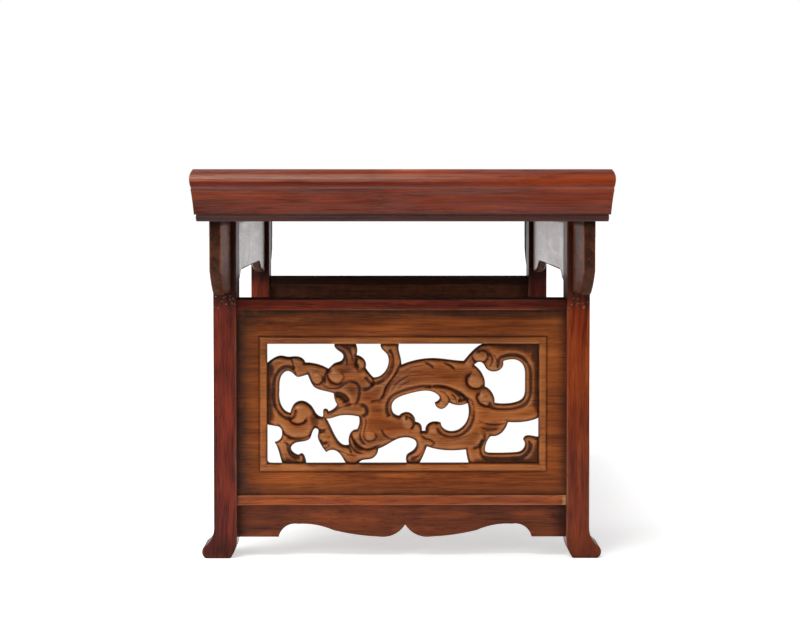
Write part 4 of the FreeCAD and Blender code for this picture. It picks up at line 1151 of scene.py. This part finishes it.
# %% [markdown]
# ## Light
# Three soft boxes light the wood: a broad one overhead, which gives most of the light and is kept out of the
# reflections, a key at the front left and a weaker fill at the right. A fourth, the edge light, shows in
# reflections alone. It stands low at the left and draws the pale line along the moulding of the top,
# brightest at its left end, over a painted highlight there that is also brightest at the left. The sky is
# white for the camera. For reflections it is white behind the table and dim in front of it, like a studio:
# polish that faced a white room would look grey.

# %% Lamps
UNDER_TOP = (0, 0, 0.08)
TOP_EDGE = (0, -0.17, 0.158)
# Place and aim in metres, width and height in metres, and power in watts.
LAMPS = {
    "overhead": ((-0.36, -0.55, 1.5), UNDER_TOP, 1.0, 1.0, 30),
    "key": ((-0.7, -1.3, 0.8), UNDER_TOP, 0.5, 0.5, 5),
    "fill": ((0.9, -1.3, 0.5), UNDER_TOP, 0.5, 0.5, 2),
    "edge_light": ((-0.5, -1.6, 0.42), TOP_EDGE, 1.2, 0.25, 5),
}


def soft_box(name, place, aim, width, height, power):
    """A rectangular lamp at a place, facing a point."""
    lamp = bpy.data.lights.new(name, "AREA")
    lamp.shape = "RECTANGLE"
    lamp.size = width
    lamp.size_y = height
    lamp.energy = power
    holder = put_in_scene(name, lamp)
    holder.location = place
    way = np.array(aim) - np.array(place)
    flat = math.hypot(way[0], way[1])
    holder.rotation_euler = (math.atan2(flat, -way[2]), 0, math.atan2(-way[0], way[1]))
    return holder


lamps = {name: soft_box(name, *settings) for name, settings in LAMPS.items()}
lamps["overhead"].visible_glossy = False
lamps["edge_light"].visible_diffuse = False
print("lamps:", ", ".join(lamps))

# %% Sky
SKY_LEVEL = 0.15
SKY_FRONT = 0.06
SKY_RAMP = (-0.05, 0.3)


def studio_sky():
    """White for the camera; for reflections white behind and dim in front; an even dim level for the rest."""
    finish = Finish(bpy.data.worlds.new("studio"))
    seen = finish.rays("Camera")
    mirrored = finish.rays("Glossy", "Transmission")
    _, depth, _ = finish.parts(finish.add("TexCoord", output="Generated"))
    backdrop = SKY_FRONT + depth.rise(*SKY_RAMP) * (1 - SKY_FRONT)
    level = mirrored * backdrop + (1 - mirrored) * SKY_LEVEL
    level = seen + (1 - seen) * level
    sky = finish.add("Background", None, {"Color": WHITE, "Strength": level})
    return finish.end(sky, "OutputWorld")


bpy.context.scene.world = studio_sky()
bpy.context.scene.view_settings.view_transform = "Standard"
print("sky: white, and", SKY_FRONT, "of white in reflections of the front")

# %% [markdown]
# ## The camera
# The photograph looks at one end of the table, level with the edge of the top, through a long lens. Its
# uprights stay almost parallel, so the camera is hardly tipped, and the lens is shifted to take in the feet.

# %% Camera
PICTURE_WIDTH = 800
FOCAL_PIXELS = 1853.6
SENSOR = 36.0
LENS_SHIFT = -0.07
CAMERA_PLACE = (-5.26, -896.1, 153.4)
TIPPED_DOWN = 2.11
TURNED_RIGHT = 0.334
camera = bpy.data.cameras.new("camera")
camera.sensor_width = SENSOR
camera.lens = FOCAL_PIXELS / PICTURE_WIDTH * SENSOR
camera.clip_start = 10 * MM
camera.shift_y = LENS_SHIFT
eye = put_in_scene("camera", camera)
eye.location = [part * MM for part in CAMERA_PLACE]
eye.rotation_euler = (math.radians(90 - TIPPED_DOWN), 0, math.radians(-TURNED_RIGHT))
bpy.context.scene.camera = eye
print("lens:", round(camera.lens, 1), "mm")

# %% [markdown]
# ## The end
# The table is dressed, its carved boards are in place, and the studio is lit.
